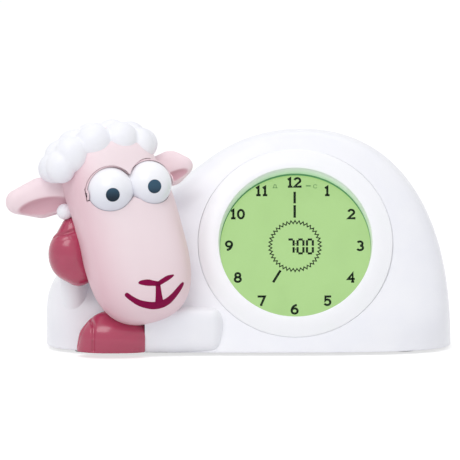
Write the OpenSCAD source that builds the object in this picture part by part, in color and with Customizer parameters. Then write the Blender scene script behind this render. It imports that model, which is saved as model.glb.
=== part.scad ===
/* [Body] */
// Radius of the dome's round side
dome_r = 92; // [86:1:98]
// Distance of the dome's round centre to the right of the origin
dome_x = 42.8; // [38:0.5:46]
// Height of the dome's round centre over its lower rim
dome_z = 36.2; // [32:0.2:40]
// Radius of the low shoulder behind the head
shoulder_r = 30; // [26:1:32]
// Sideways place of the shoulder's centre
shoulder_x = -80.4; // [-84:0.2:-76]
// Height of the shoulder's centre over the lower rim
shoulder_z = 21; // [18:0.5:26]
// Depth of the body along its lower rim
base_depth = 100; // [96:1:112]
// Lean of the front, in degrees
front_tilt = 22; // [19:0.5:22.5]
// Lean of the back, in degrees
back_tilt = 9.6; // [8:0.2:11]
// Squareness of the dome's round side, where 2 is a circle
dome_power = 2.3; // [2:0.05:2.5]
// Squareness of the horizontal outline at the height of the clock face
outline_power = 5; // [4.6:0.2:6]
// Squareness of the horizontal outline along the lower rim
rim_power = 3.3; // [3:0.1:4]
// Wall thickness of the two body shells
wall = 2.5; // [2:0.1:3]
// Height of the body's lower rim over the table
rim_z = 2; // [1.5:0.1:3]
// Distance from the middle of the depth to the shells' parting plane
seam_y = 12; // [9:0.5:14]
// Thickness of the base plate
base_t = 2.5; // [2:0.1:3.5]
// Radius of a rubber foot
foot_r = 7; // [5:0.5:9]

/* [Clock face] */
// Sideways place of the clock face
face_x = 40.5; // [38:0.5:43]
// Distance from the lower rim to the middle of the face, along the front
face_up = 68.8; // [67:0.2:69.6]
// Outer radius of the bezel ring
bezel_r = 59; // [57:0.25:60]
// Radius of the window in the bezel ring
window_r = 47.4; // [45:0.2:48]
// Thickness of the bezel ring
bezel_t = 3.4; // [3:0.2:4]
// Thickness of the clear lens
lens_t = 1.2; // [1:0.1:1.5]
// Thickness of the display panel
display_t = 2; // [1.6:0.1:2.2]
// Thickness of the light guide
guide_t = 3.6; // [3:0.2:4]
// Width of the main circuit board
board_w = 96; // [80:2:100]
// Height of the main circuit board
board_h = 76; // [60:2:80]
// Thickness of every circuit board
board_t = 1.6; // [1:0.2:2]

/* [Rear panel] */
// Sideways place of the rear panel
panel_x = 35; // [33:0.5:37]
// Distance from the lower rim to the middle of the rear panel
panel_up = 45; // [43:0.5:47]
// Width of the rear panel
panel_w = 130; // [128:1:134]
// Height of the rear panel
panel_h = 66; // [64:1:70]
// Thickness of the rear panel
panel_t = 2.2; // [2:0.1:3]
// Depth that the rear panel lies below the back
panel_sink = 1.6; // [1.2:0.1:2]
// Radius of a push button
button_r = 3.6; // [3:0.1:3.6]
// Travel of a push button
button_travel = 0.6; // [0.4:0.1:0.8]
// Distance between neighbouring push buttons
button_pitch = 9.5; // [9.3:0.1:9.5]
// Travel of the slide switch
switch_travel = 3; // [2:0.5:4]
// Radius of the speaker's basket
speaker_r = 16.5; // [15.5:0.25:16.75]
// Bore radius of the power inlet
inlet_r = 2.75; // [2.6:0.05:3]

/* [Batteries] */
// Length of an AA cell
cell_l = 50.5; // [49:0.1:50.5]
// Radius of an AA cell
cell_r = 7.25; // [7:0.05:7.25]
// Wall thickness of the battery box
box_wall = 1.4; // [1:0.1:1.5]
// Width of the battery door
door_w = 62; // [61.5:0.25:62.5]
// Height of the battery door
door_h = 50; // [49:0.5:52]

/* [Head] */
// Place of the head's middle: sideways, behind the lower front edge, and in height
head_at = [-61.3, 5.4, 79];
// Turn of the head to the side, in degrees
head_yaw = 18; // [15:0.5:21]
// Lean of the head to the back, in degrees
head_pitch = 14; // [12:0.5:15]
// Roll of the head, in degrees
head_roll = 10.5; // [8:0.5:12]
// Half of the head's length from chin to crown
head_half = 61; // [58:0.5:63]
// Half of the head's width
head_half_w = 31.8; // [30:0.3:33]
// Depth of the face in front of the head's parting plane
face_depth = 25; // [23:0.25:26]
// Depth of the head behind its parting plane, at the crown
crown_depth = 22; // [20:0.5:24]
// Depth of the head behind its parting plane, at the chin
chin_depth = 12; // [10:0.5:13]
// Wall thickness of the head shells
head_wall = 2.2; // [1.8:0.1:2.6]
// Radius of an eyeball
eye_r = 14.2; // [13.5:0.1:14.6]
// Distance between the eyeballs' centres
eye_gap = 24.6; // [23:0.2:25]
// Distance of the eyes over the head's middle
eye_up = 21; // [19:0.5:23]
// Sideways place of the middle between the eyes
eye_side = 1.4; // [0:0.2:2]
// Turn of the eyes' common axis in the face, in degrees
eye_roll = -3; // [-5:0.5:0]
// Distance of the eyes in front of the head's parting plane
eye_out = 17.5; // [16.5:0.25:18.5]
// Thickness of the eyelids
lid_t = 0.8; // [0.6:0.1:1]
// Running gap between eyeball and eyelid, and between eyelid and face
lid_gap = 0.35; // [0.3:0.05:0.4]
// Radius of a pupil
pupil_r = 4.2; // [3.6:0.1:4.6]
// Radius of the eyelid axle
axle_r = 1.5; // [1.2:0.1:1.8]

/* [Fits] */
// Gap around pieces that are set into each other
fit = 0.15; // [0.1:0.01:0.2]
// Radial gap of shafts and buttons that move
running = 0.08; // [0.05:0.01:0.09]
// Shank radius of the small screws
screw_r = 1.2; // [1:0.1:1.3]

/* [Hidden] */

white = [0.96, 0.96, 0.98];
pink = [0.90, 0.78, 0.83];
hoof_pink = [0.66, 0.25, 0.36];
board_green = [0.12, 0.38, 0.22];
metal = [0.75, 0.76, 0.78];
dark = [0.13, 0.13, 0.15];

// The whole clock is moved back by this much, so that the origin is below its middle.
middle_y = 13;
// Height of the dome over its lower rim
dome_h = dome_z + dome_r;
front_y = -base_depth / 2;
back_y = base_depth / 2;
head_place = [head_at[0], front_y + head_at[1], head_at[2]];
front_slope = tan(front_tilt);
back_slope = tan(back_tilt);
ring_n = 48;
ring_layers = 16;

// Direction of the straight line between the dome's round side and the shoulder
shoulder_dx = dome_x - shoulder_x;
shoulder_dz = dome_z - shoulder_z;
line_angle = asin((dome_r - shoulder_r) / norm([shoulder_dx, shoulder_dz])) + atan2(shoulder_dz, shoulder_dx);

// Left edge of the body's outline at height z over the lower rim, drawn in by t
function left_x(z, t) =
    let (top = dome_z + (dome_r - t) * cos(line_angle), low = shoulder_z + (shoulder_r - t) * cos(line_angle))
    z > top ? dome_x - sqrt(max(0, pow(dome_r - t, 2) - pow(z - dome_z, 2))) :
    z > low ? dome_x - (dome_r - t) * sin(line_angle) - (top - z) / tan(line_angle) :
    z > shoulder_z ? shoulder_x - sqrt(pow(shoulder_r - t, 2) - pow(z - shoulder_z, 2)) :
    shoulder_x - shoulder_r + t;

// Right edge of the body's outline
function right_x(z, t) =
    dome_x + (dome_r - t) * pow(max(0, 1 - pow(max(z, 0) / (dome_h - t), dome_power)), 1 / dome_power);

// How far the depth closes towards the top
function crown(z, t) = pow(max(0, 1 - pow(max(z, 0) / (dome_h - t), 8)), 1 / 8);

function sgn_pow(v, p) = sign(v) * pow(abs(v), p);

// Squareness of the horizontal outline, which grows from the rim up to power_h
power_h = 26;
function power_at(z) =
    let (u = min(1, max(0, z / power_h)))
    rim_power + (outline_power - rim_power) * u * u * (3 - 2 * u);

// One horizontal ring of the body at height z over the lower rim, drawn in by t
function body_ring(z, t) =
    let (
        l = left_x(z, t),
        r = right_x(z, t),
        f = front_y + front_slope * z + t / cos(front_tilt),
        b = back_y - back_slope * z - t / cos(back_tilt),
        p = 2 / power_at(z)
    )
    [for (i = [0:ring_n - 1])
        let (a = 360 * i / ring_n)
        [(l + r) / 2 + (r - l) / 2 * sgn_pow(cos(a), p),
         (f + b) / 2 + (b - f) / 2 * crown(z, t) * sgn_pow(sin(a), p),
         z + rim_z]];

// The body's rounded block from height z0 up to its closed top, drawn in by t
module body_block(t, z0) {
    top = dome_h - t;
    levels = [for (k = [0:ring_layers]) z0 + (top - z0) * sin(90 * k / (ring_layers + 0.25))];
    rings = [for (z = levels) body_ring(z, t)];
    loft(rings);
}

// A closed skin over rings that have the same number of points
module loft(rings) {
    n = len(rings[0]);
    m = len(rings);
    points = [for (ring = rings) for (p = ring) p];
    sides = [for (k = [0:m - 2]) for (i = [0:n - 1])
        let (j = (i + 1) % n)
        each [[k * n + i, k * n + n + j, k * n + j], [k * n + i, k * n + n + i, k * n + n + j]]];
    bottom = [for (i = [0:n - 1]) i];
    top = [for (i = [0:n - 1]) m * n - 1 - i];
    polyhedron(points = points, faces = concat(sides, [bottom, top]), convexity = 6);
}

// Frame on the front: x to the right, y up along the front, z outwards, at the face's middle
module on_front() {
    translate([face_x, front_y, rim_z])
        rotate([90 - front_tilt, 0, 0])
            translate([0, face_up, 0])
                children();
}

// Frame on the back: x to the right as seen from behind, y up along the back, z outwards
module on_back() {
    translate([panel_x, back_y, rim_z])
        rotate([90 - back_tilt, 0, 180])
            translate([0, panel_up, 0])
                children();
}

// Frame of the head: x to the right, y towards the crown, z out of the face
module on_head() {
    translate(head_place)
        rotate([90 - head_pitch, 0, head_yaw])
            rotate([0, 0, head_roll])
                children();
}

module whole() {
    translate([0, middle_y, 0])
        children();
}

// A screw along +z with its head's underside at 0
module screw(length, r = screw_r, head_r = 2.3, head_t = 1.6) {
    difference() {
        union() {
            translate([0, 0, -length])
                cylinder(h = length, r = r, $fn = 24);
            cylinder(h = head_t, r = head_r, $fn = 32);
        }
        for (turn = [0, 90])
            translate([0, 0, head_t])
                rotate([0, 0, turn])
                    cube([head_r * 1.3, 0.5, head_t], center = true);
    }
}

module rounded_plate(w, h, t, r) {
    linear_extrude(height = t)
        union() {
            square([w - 2 * r, h], center = true);
            square([w, h - 2 * r], center = true);
            for (x = [-1, 1], y = [-1, 1])
                translate([x * (w / 2 - r), y * (h / 2 - r)])
                    circle(r = r, $fn = 32);
        }
}

// ---- Body shells ----

shell_boss_r = 4;
shell_bosses = [
    [dome_x + 73.2, shoulder_z - 1], [dome_x + 69.2, dome_z + 39.8],
    [shoulder_x + 40.4, dome_z + 39.8], [shoulder_x - 15.6, shoulder_z - 1]
];
boss_head_y = seam_y + 6;
boss_end_y = seam_y - 20;
seat_t = 3;
seat_r = bezel_r + 3;
seat_z = -bezel_t - fit;
seat_hole_r = window_r + 2.6;
frame_top = seat_z - seat_t;
display_screw_r = bezel_r - 6;
base_bosses = [
    [shoulder_x + 14.4, front_y + 14], [dome_x + 51.2, front_y + 14],
    [shoulder_x + 14.4, back_y - 10], [dome_x - 22.8, back_y - 13], [dome_x + 60.2, back_y - 14]
];
base_boss_r = 5;
base_boss_top = 14;
neck_at = [head_at[0] + 5.3, head_at[2] - 33];
neck_r = 11;
panel_seat = 3;
// Reach of the blocks that cut a piece off at a plane
far = 200;
panel_screw_at = [panel_w / 2 - 4, panel_h / 2 - 4];
panel_top = -panel_sink;
panel_low = panel_top - panel_t;

module shell_boss_rods(r, y0, y1) {
    for (p = shell_bosses)
        translate([p[0], y0, p[1] + rim_z])
            rotate([-90, 0, 0])
                hull()
                    cylinder(h = y1 - y0, r = r, $fn = 24);
}

module base_boss_rods(r, z0, z1) {
    for (p = base_bosses)
        translate([p[0], p[1], z0])
            hull()
                cylinder(h = z1 - z0, r = r, $fn = 24);
}

module neck_rod(r, y0, y1) {
    translate([neck_at[0], front_y + front_slope * neck_at[1], neck_at[1] + rim_z])
        rotate([90 - front_tilt, 0, 0])
            translate([0, 0, y0])
                cylinder(h = y1 - y0, r = r, $fn = 48);
}

module body_cavity() {
    difference() {
        body_block(wall, -1);
        shell_boss_rods(shell_boss_r, front_y, back_y);
        base_boss_rods(base_boss_r, rim_z + base_t + fit, rim_z + base_boss_top);
        on_front()
            translate([0, 0, frame_top])
                cylinder(h = seat_t + bezel_t, r = seat_r, $fn = 64);
        on_back()
            translate([0, 0, panel_low - fit - panel_seat])
                rounded_plate(panel_w + 6, panel_h + 6, panel_seat + panel_t + panel_sink, 5);
    }
}

module shell_cuts() {
    body_cavity();
    on_front() {
        translate([0, 0, seat_z])
            cylinder(h = bezel_t + 6, r = bezel_r + fit, $fn = 96);
        translate([0, 0, frame_top - 6])
            cylinder(h = bezel_t + seat_t + 8, r = seat_hole_r, $fn = 72);
        for (a = [45:90:315])
            rotate([0, 0, a])
                translate([display_screw_r, 0, frame_top - 1])
                    cylinder(h = seat_t, r = screw_r + 0.05, $fn = 16);
    }
    on_back() {
        translate([0, 0, panel_low - fit])
            rounded_plate(panel_w + 2 * fit, panel_h + 2 * fit, 12, 4 + fit);
        translate([0, 0, panel_low - panel_seat - 4])
            rounded_plate(panel_w - 6, panel_h - 16, 12, 3);
        translate([0, 0, panel_low - panel_seat - 4])
            rounded_plate(panel_w - 16, panel_h - 6, 12, 3);
        for (x = [-1, 1], y = [-1, 1])
            translate([x * panel_screw_at[0], y * panel_screw_at[1], panel_low - panel_seat - 1])
                cylinder(h = 8, r = screw_r + 0.05, $fn = 16);
    }
    shell_boss_rods(screw_r + 0.05, boss_end_y, boss_head_y + 1);
    shell_boss_rods(2.7, boss_head_y, back_y + 20);
    base_boss_rods(screw_r + 0.05, 0, rim_z + base_boss_top - 3);
    neck_rod(neck_r + fit, -20, 20);
}

module front_shell() {
    color(white)
        difference() {
            body_block(0, 0);
            shell_cuts();
            translate([-far, seam_y, -10])
                cube([2 * far, far, far]);
        }
}

module rear_shell() {
    color(white)
        difference() {
            body_block(0, 0);
            shell_cuts();
            translate([-far, seam_y - far, -10])
                cube([2 * far, far, far]);
        }
}

foot_places = [
    [shoulder_x - 5.6, front_y + 24], [dome_x + 63.2, front_y + 28],
    [shoulder_x - 5.6, back_y - 24], [dome_x + 63.2, back_y - 28]
];
foot_sink = 0.6;

module base_plate() {
    color(white)
        difference() {
            translate([0, 0, rim_z])
                linear_extrude(height = base_t)
                    polygon([for (p = body_ring(base_t, wall + fit)) [p[0], p[1]]]);
            for (p = foot_places)
                translate([p[0], p[1], rim_z - 1])
                    cylinder(h = 1 + foot_sink, r = foot_r + fit, $fn = 32);
            for (p = base_bosses)
                translate([p[0], p[1], 0]) {
                    cylinder(h = 20, r = screw_r + 0.1, $fn = 24);
                    cylinder(h = rim_z + 1, r = 2.5, $fn = 24);
                }
        }
}

module rubber_feet() {
    color(dark)
        for (p = foot_places)
            translate([p[0], p[1], 0])
                cylinder(h = rim_z + foot_sink, r = foot_r, $fn = 32);
}

module shell_screws() {
    color(metal)
        for (p = shell_bosses)
            translate([p[0], boss_head_y, p[1] + rim_z])
                rotate([-90, 0, 0])
                    screw(boss_head_y - boss_end_y - 2);
}

module base_screws() {
    color(metal)
        for (p = base_bosses)
            translate([p[0], p[1], rim_z + 1])
                mirror([0, 0, 1])
                    screw(base_boss_top - 5, head_r = 2.3, head_t = 1);
}

// ---- Clock face ----

bezel_edge = 1.2;
bezel_rise = 2.2;
lens_r = seat_hole_r - fit;
lens_top = -bezel_t - 0.05;
display_top = lens_top - lens_t - 0.2;
guide_top = display_top - display_t;
sheet_t = 0.4;
sheet_top = guide_top - guide_t;
stack_low = sheet_top - sheet_t;
stack_r = lens_r - 0.6;
frame_r = bezel_r - 2;
frame_low = stack_low - 2;
board_top = frame_low - 1.5;
board_low = board_top - board_t;
zebra_x = 28;
zebra_y = 45.4;
zebra_t = 2.4;
guide_flat = 43.4;

module bezel_ring() {
    color(white)
        on_front()
            rotate_extrude($fn = 128)
                polygon([
                    [window_r, -bezel_t], [bezel_r, -bezel_t], [bezel_r, -bezel_edge / 2],
                    [bezel_r - bezel_edge / 2, 0], [(bezel_r + window_r) / 2, 0.65 * bezel_rise],
                    [window_r + bezel_edge, bezel_rise], [window_r, bezel_rise - bezel_edge]
                ]);
}

module clear_lens() {
    color([0.85, 0.95, 0.85, 0.4])
        on_front()
            translate([0, 0, lens_top - lens_t])
                cylinder(h = lens_t, r = lens_r, $fn = 96);
}

module lcd_panel() {
    color([0.66, 0.83, 0.52])
        on_front()
            translate([0, 0, guide_top])
                cylinder(h = display_t, r = stack_r, $fn = 96);
}

module guide_outline() {
    intersection() {
        circle(r = stack_r, $fn = 96);
        square([2 * stack_r, 2 * guide_flat], center = true);
    }
}

module light_guide() {
    color([0.9, 0.97, 0.9, 0.6])
        on_front()
            translate([0, 0, sheet_top])
                linear_extrude(height = guide_t)
                    difference() {
                        guide_outline();
                        for (side = [-1, 1])
                            translate([side * (stack_r - 3), 0])
                                square([6, 42], center = true);
                    }
}

module reflector_sheet() {
    color([0.98, 0.98, 0.98])
        on_front()
            translate([0, 0, stack_low])
                linear_extrude(height = sheet_t)
                    guide_outline();
}

module backlight_leds() {
    color([0.95, 0.95, 0.85])
        on_front()
            for (side = [-1, 1])
                translate([side * (stack_r - 4.6), 0, sheet_top + guide_t / 2]) {
                    cube([0.8, 38, 3], center = true);
                    for (i = [-2:2])
                        translate([side * -0.6, i * 8, 0])
                            cube([0.6, 4, 2], center = true);
                }
}

module lcd_frame() {
    color([0.9, 0.9, 0.9])
        on_front()
            difference() {
                translate([0, 0, frame_low])
                    cylinder(h = frame_top - frame_low - 0.05, r = frame_r, $fn = 96);
                translate([0, 0, stack_low])
                    cylinder(h = 20, r = stack_r + 0.3, $fn = 96);
                for (side = [-1, 1])
                    translate([0, side * zebra_y, frame_low])
                        cube([zebra_x + 0.4, zebra_t + 0.4, 10], center = true);
                for (a = [45:90:315])
                    rotate([0, 0, a])
                        translate([display_screw_r, 0, frame_low - 1])
                            cylinder(h = 20, r = screw_r + 0.1, $fn = 24);
                for (x = [-1, 1], y = [-1, 1])
                    translate([x * board_screw_x, y * board_screw_y, frame_low - 1])
                        cylinder(h = 2.6, r = screw_r + 0.05, $fn = 24);
            }
}

board_screw_x = 26;
board_screw_y = 30;

module zebra_strips() {
    color([0.35, 0.35, 0.38])
        on_front()
            for (side = [-1, 1])
                translate([0, side * zebra_y, (guide_top + board_top) / 2])
                    cube([zebra_x, zebra_t, guide_top - board_top], center = true);
}

module main_board() {
    color(board_green)
        on_front()
            difference() {
                union() {
                    translate([0, 0, board_low])
                        rounded_plate(board_w, board_h, board_t, 2);
                    translate([0, 0, board_low])
                        rounded_plate(zebra_x + 8, 2 * zebra_y + 5, board_t, 2);
                }
                for (x = [-1, 1], y = [-1, 1])
                    translate([x * board_screw_x, y * board_screw_y, board_low - 1])
                        cylinder(h = board_t + 2, r = screw_r + 0.1, $fn = 24);
                for (a = [45:90:315])
                    rotate([0, 0, a])
                        translate([display_screw_r, 0, board_low - 1])
                            cylinder(h = board_t + 2, r = 3.2, $fn = 24);
            }
}

module board_chips() {
    color(dark)
        on_front()
            translate([0, 0, board_low]) {
                translate([-8, 4, -1.6])
                    rounded_plate(14, 14, 1.6, 0.6);
                translate([16, -12, -1.5])
                    rounded_plate(8, 5, 1.5, 0.4);
                translate([-30, -16, -1.5])
                    rounded_plate(5, 6, 1.5, 0.4);
                translate([10, 20, -3])
                    cylinder(h = 3, r = 1.6, $fn = 24);
                for (i = [0:3])
                    translate([32, -18 + 10 * i, -6])
                        cylinder(h = 6, r = 2.5, $fn = 24);
            }
}

module display_screws() {
    color(metal)
        on_front() {
            for (a = [45:90:315])
                rotate([0, 0, a])
                    translate([display_screw_r, 0, frame_low])
                        mirror([0, 0, 1])
                            screw(frame_top - frame_low + seat_t - 1.5);
            for (x = [-1, 1], y = [-1, 1])
                translate([x * board_screw_x, y * board_screw_y, board_low])
                    mirror([0, 0, 1])
                        screw(board_t + 3, head_r = 2);
        }
}

// ---- Rear panel ----

button_row_y = -panel_h / 2 + 8;
button_first_x = -panel_w / 2 + 13;
button_flange = 1;
flange_gap = 0.05;
button_top = panel_top + 1.6;
door_at = [-panel_w / 2 + 57.5 + door_w / 2, 0];
speaker_gap = 3;
speaker_at = [door_at[0] - door_w / 2 - speaker_gap - speaker_r, panel_h / 2 - 23];
switch_at = [-panel_w / 2 + 11, -panel_h / 2 + 23];
switch_slot = [8, 3.2];
knob_l = 3.6;
knob_w = 3;
inlet_at = [-panel_w / 2 + 12, panel_h / 2 - 17];
inlet_body = [9, 11, 11];
door_t = 2;
box_depth = 2 * cell_r + 2 + box_wall;
box_top = panel_low;
door_rim = 3;
bay_l = cell_l + 3.4;
contact_w = cell_r + 0.75;
bay_x = -2.6;
box_h = 6 * cell_r + 1.6 + 2 * box_wall;
screw_post_r = 2.4;
door_screw_x = bay_x + bay_l / 2 + screw_post_r + 0.45;
tact_h = 3.2;
tact_top = panel_low - flange_gap - button_flange - button_travel - 0.1;
button_board_top = tact_top - tact_h;

function button_x(i) = button_first_x + i * button_pitch;

module rear_panel() {
    color(white)
        on_back()
            difference() {
                translate([0, 0, panel_low])
                    rounded_plate(panel_w, panel_h, panel_t, 4);
                for (i = [0:4])
                    translate([button_x(i), button_row_y, panel_low - 1])
                        cylinder(h = panel_t + 2, r = button_r + running, $fn = 48);
                translate([speaker_at[0], speaker_at[1], panel_low - 1])
                    grille_holes(panel_t + 2);
                translate([switch_at[0], switch_at[1], 0])
                    cube([switch_slot[0], switch_slot[1], 20], center = true);
                translate([inlet_at[0], inlet_at[1], panel_low - 1])
                    cylinder(h = panel_t + 2, r = 4.4, $fn = 48);
                translate([door_at[0], door_at[1], panel_low - 1])
                    rounded_plate(door_w + 0.6, door_h + 0.6, panel_t + 2, 2.3);
                for (x = [-1, 1], y = [-1, 1])
                    translate([x * panel_screw_at[0], y * panel_screw_at[1], panel_low - 1]) {
                        cylinder(h = panel_t + 2, r = screw_r + 0.1, $fn = 24);
                        translate([0, 0, panel_t])
                            cylinder(h = 3, r = 2.5, $fn = 24);
                    }
            }
}

module grille_holes(depth) {
    for (k = [0:2], i = [0:max(0, 6 * k - 1)])
        rotate([0, 0, k == 0 ? 0 : 60 * i / k])
            translate([5 * k, 0, 0])
                cylinder(h = depth, r = 1.2, $fn = 16);
}

module panel_screws() {
    color(metal)
        on_back()
            for (x = [-1, 1], y = [-1, 1])
                translate([x * panel_screw_at[0], y * panel_screw_at[1], panel_top - 1])
                    screw(panel_t - 1 + panel_seat - 0.5, head_t = 1);
}

speaker_depth = 5;
speaker_hole_r = 12.6;

module speaker_frame() {
    color(metal)
        on_back()
            translate([speaker_at[0], speaker_at[1], panel_low - speaker_depth])
                difference() {
                    union() {
                        cylinder(h = speaker_depth, r = speaker_r - 3, $fn = 64);
                        translate([0, 0, speaker_depth - 1.2])
                            rounded_plate(2 * speaker_r, 2 * speaker_r, 1.2, 4);
                    }
                    translate([0, 0, 1.2])
                        cylinder(h = speaker_depth, r = speaker_hole_r, $fn = 64);
                    translate([0, 0, -1])
                        cylinder(h = 4, r = 7.2, $fn = 48);
                    for (x = [-1, 1], y = [-1, 1])
                        translate([x * (speaker_r - 3), y * (speaker_r - 3), 0])
                            cylinder(h = 10, r = screw_r + 0.1, $fn = 24);
                }
}

module speaker_cone() {
    color(dark)
        on_back()
            translate([speaker_at[0], speaker_at[1], panel_low - speaker_depth])
                rotate_extrude($fn = 64)
                    polygon([[0, 2.2], [4.5, 2.2], [9, 4.2], [12.4, 4.2], [12.4, 3.6], [9.2, 3.6],
                             [5, 1.4], [5, 0.2], [4.4, 0.2], [4.4, 1.6], [0, 1.6]]);
}

module speaker_magnet() {
    color([0.3, 0.3, 0.32])
        on_back()
            translate([speaker_at[0], speaker_at[1], panel_low - speaker_depth])
                difference() {
                    translate([0, 0, -6])
                        cylinder(h = 7, r = 7, $fn = 48);
                    translate([0, 0, -2])
                        difference() {
                            cylinder(h = 4, r = 5.4, $fn = 48);
                            translate([0, 0, -1])
                                cylinder(h = 6, r = 4, $fn = 48);
                        }
                }
}

module speaker_screws() {
    color(metal)
        on_back()
            translate([speaker_at[0], speaker_at[1], panel_low - 1.2])
                for (x = [-1, 1], y = [-1, 1])
                    translate([x * (speaker_r - 3), y * (speaker_r - 3), 0])
                        mirror([0, 0, 1])
                            screw(1.15, head_r = 2);
}

module battery_box() {
    color(white)
        on_back()
            translate([door_at[0], door_at[1], box_top - box_depth])
                difference() {
                    union() {
                        translate([bay_x, 0, 0])
                            rounded_plate(bay_l + 2 * box_wall, box_h, box_depth - 0.05, 1.5);
                        translate([0, 0, box_depth - 2.05])
                            rounded_plate(door_w + door_rim, door_h + door_rim, 2, 2);
                        translate([door_screw_x, 0, box_depth - 8])
                            cylinder(h = 7.95, r = screw_post_r, $fn = 32);
                    }
                    translate([bay_x, 0, box_wall])
                        rounded_plate(bay_l, box_h - 2 * box_wall, box_depth, 1);
                    translate([door_screw_x, 0, box_depth - 7])
                        cylinder(h = 10, r = screw_r + 0.1, $fn = 24);
                }
}

cell_z = box_top - box_depth + box_wall + cell_r + 0.1;
cell_x = bay_x;
cell_pitch = 2 * cell_r + 0.5;

module on_cells() {
    on_back()
        for (i = [-1:1])
            translate([door_at[0] + cell_x, door_at[1] + i * cell_pitch, cell_z])
                rotate([0, i == 0 ? -90 : 90, 0])
                    children();
}

module battery_cells() {
    color([0.2, 0.2, 0.22])
        on_cells() {
            translate([0, 0, -cell_l / 2])
                cylinder(h = cell_l - 1.2, r = cell_r, $fn = 48);
            translate([0, 0, cell_l / 2 - 1.2])
                cylinder(h = 1.2, r = 2.6, $fn = 32);
        }
}

module battery_springs() {
    color(metal)
        on_cells()
            translate([0, 0, -bay_l / 2 + 0.6])
                rotate_extrude($fn = 32)
                    translate([3, 0])
                        square([0.7, (bay_l - cell_l) / 2 - 0.65]);
}

module battery_plates() {
    color(metal)
        on_cells() {
            translate([-contact_w / 2, -contact_w / 2, bay_l / 2 - 0.55])
                cube([contact_w, contact_w, 0.5]);
            translate([-contact_w / 2, -contact_w / 2, -bay_l / 2 + 0.05])
                cube([contact_w, contact_w, 0.5]);
        }
}

module battery_door() {
    color(white)
        on_back()
            translate([door_at[0], door_at[1], panel_top - door_t])
                difference() {
                    rounded_plate(door_w, door_h, door_t, 2);
                    translate([door_screw_x, 0, -1])
                        cylinder(h = 6, r = screw_r + running, $fn = 32);
                    translate([door_screw_x, 0, door_t - 1])
                        cylinder(h = 6, r = 2.3 + running, $fn = 32);
                    for (i = [-2:2])
                        translate([-door_w / 2 + 7 + 2.4 * (i + 2), 0, door_t])
                            cube([1, 18, 0.8], center = true);
                }
}

module door_screw() {
    color(metal)
        on_back()
            translate([door_at[0] + door_screw_x, door_at[1], panel_top - 1 + 0.03])
                screw(6.6, head_t = 0.97);
}

module button_board() {
    color(board_green)
        on_back()
            translate([button_x(2), button_row_y + 0.4, button_board_top - board_t])
                difference() {
                    rounded_plate(4 * button_pitch + 10, 12, board_t, 1);
                    for (side = [-1, 1])
                        translate([side * (2 * button_pitch - button_pitch / 2), 4.2, -1])
                            cylinder(h = 5, r = 0.8, $fn = 16);
                }
}

module tact_switches() {
    color(dark)
        on_back()
            for (i = [0:4])
                translate([button_x(i), button_row_y, button_board_top]) {
                    translate([-3, -3, 0])
                        cube([6, 6, tact_h - 0.6]);
                    cylinder(h = tact_h, r = 1.7, $fn = 24);
                }
}

module push_button(i, shade) {
    color(shade)
        on_back()
            translate([button_x(i), button_row_y, 0])
                rotate_extrude($fn = 48)
                    polygon([
                        [0, panel_low - flange_gap - button_flange],
                        [button_r + 1, panel_low - flange_gap - button_flange],
                        [button_r + 1, panel_low - flange_gap],
                        [button_r, panel_low - flange_gap],
                        [button_r, button_top - 0.5],
                        [button_r - 0.5, button_top],
                        [0, button_top]
                    ]);
}

module button_alarm() {
    push_button(0, hoof_pink);
}

module button_light() {
    push_button(1, pink);
}

module button_clock() {
    push_button(2, pink);
}

module button_minus() {
    push_button(3, pink);
}

module button_plus() {
    push_button(4, pink);
}

module switch_body() {
    color(metal)
        on_back()
            translate([switch_at[0], switch_at[1], panel_low - 4.2])
                difference() {
                    translate([-5.5, -3, 0])
                        cube([11, 6, 4.1]);
                    translate([-4.2, -1.7, 1.4])
                        cube([8.4, 3.4, 4]);
                }
}

module switch_knob() {
    color(dark)
        on_back()
            translate([switch_at[0] - switch_travel / 2, switch_at[1], panel_low - 2.7]) {
                translate([-knob_l / 2, -knob_w / 2, 0])
                    cube([knob_l, knob_w, panel_t + 3.5]);
            }
}

module power_inlet() {
    color(dark)
        on_back()
            translate([inlet_at[0], inlet_at[1], 0])
                difference() {
                    union() {
                        translate([-inlet_body[0] / 2, -inlet_body[0] / 2, panel_low - inlet_body[2]])
                            cube([inlet_body[0], inlet_body[0], inlet_body[2] - 0.02]);
                        translate([0, 0, panel_low - 1])
                            cylinder(h = panel_t + 1, r = 4.2, $fn = 48);
                    }
                    translate([0, 0, panel_top - 9.5])
                        cylinder(h = 20, r = inlet_r, $fn = 48);
                }
}

module inlet_pin() {
    color(metal)
        on_back()
            translate([inlet_at[0], inlet_at[1], panel_top - 9.5])
                cylinder(h = 8.5, r = 1, $fn = 32);
}

// ---- Night light ----

night_z = rim_z + base_t;
night_at = [dome_x - 44.8, 4];

module night_board() {
    color(board_green)
        translate([night_at[0], night_at[1], night_z + 4]) {
            rounded_plate(70, 16, board_t, 2);
            for (side = [-1, 1])
                translate([side * 30, 0, -4])
                    cylinder(h = 4, r = 3, $fn = 24);
        }
}

module night_leds() {
    color([1, 0.95, 0.8])
        for (i = [-2:2])
            translate([night_at[0] + i * 12, night_at[1], night_z + 4 + board_t]) {
                cylinder(h = 2.5, r = 2.5, $fn = 24);
                translate([0, 0, 2.5])
                    sphere(r = 2.4, $fn = 24);
            }
}

// ---- Head ----

head_n = 40;
head_layers = 22;
head_power = 2.5;
head_seam = -2;
eye_x = eye_gap / 2;
lid_in = eye_r + lid_gap;
lid_out = lid_in + lid_t;
socket_r = lid_out + lid_gap;

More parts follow.
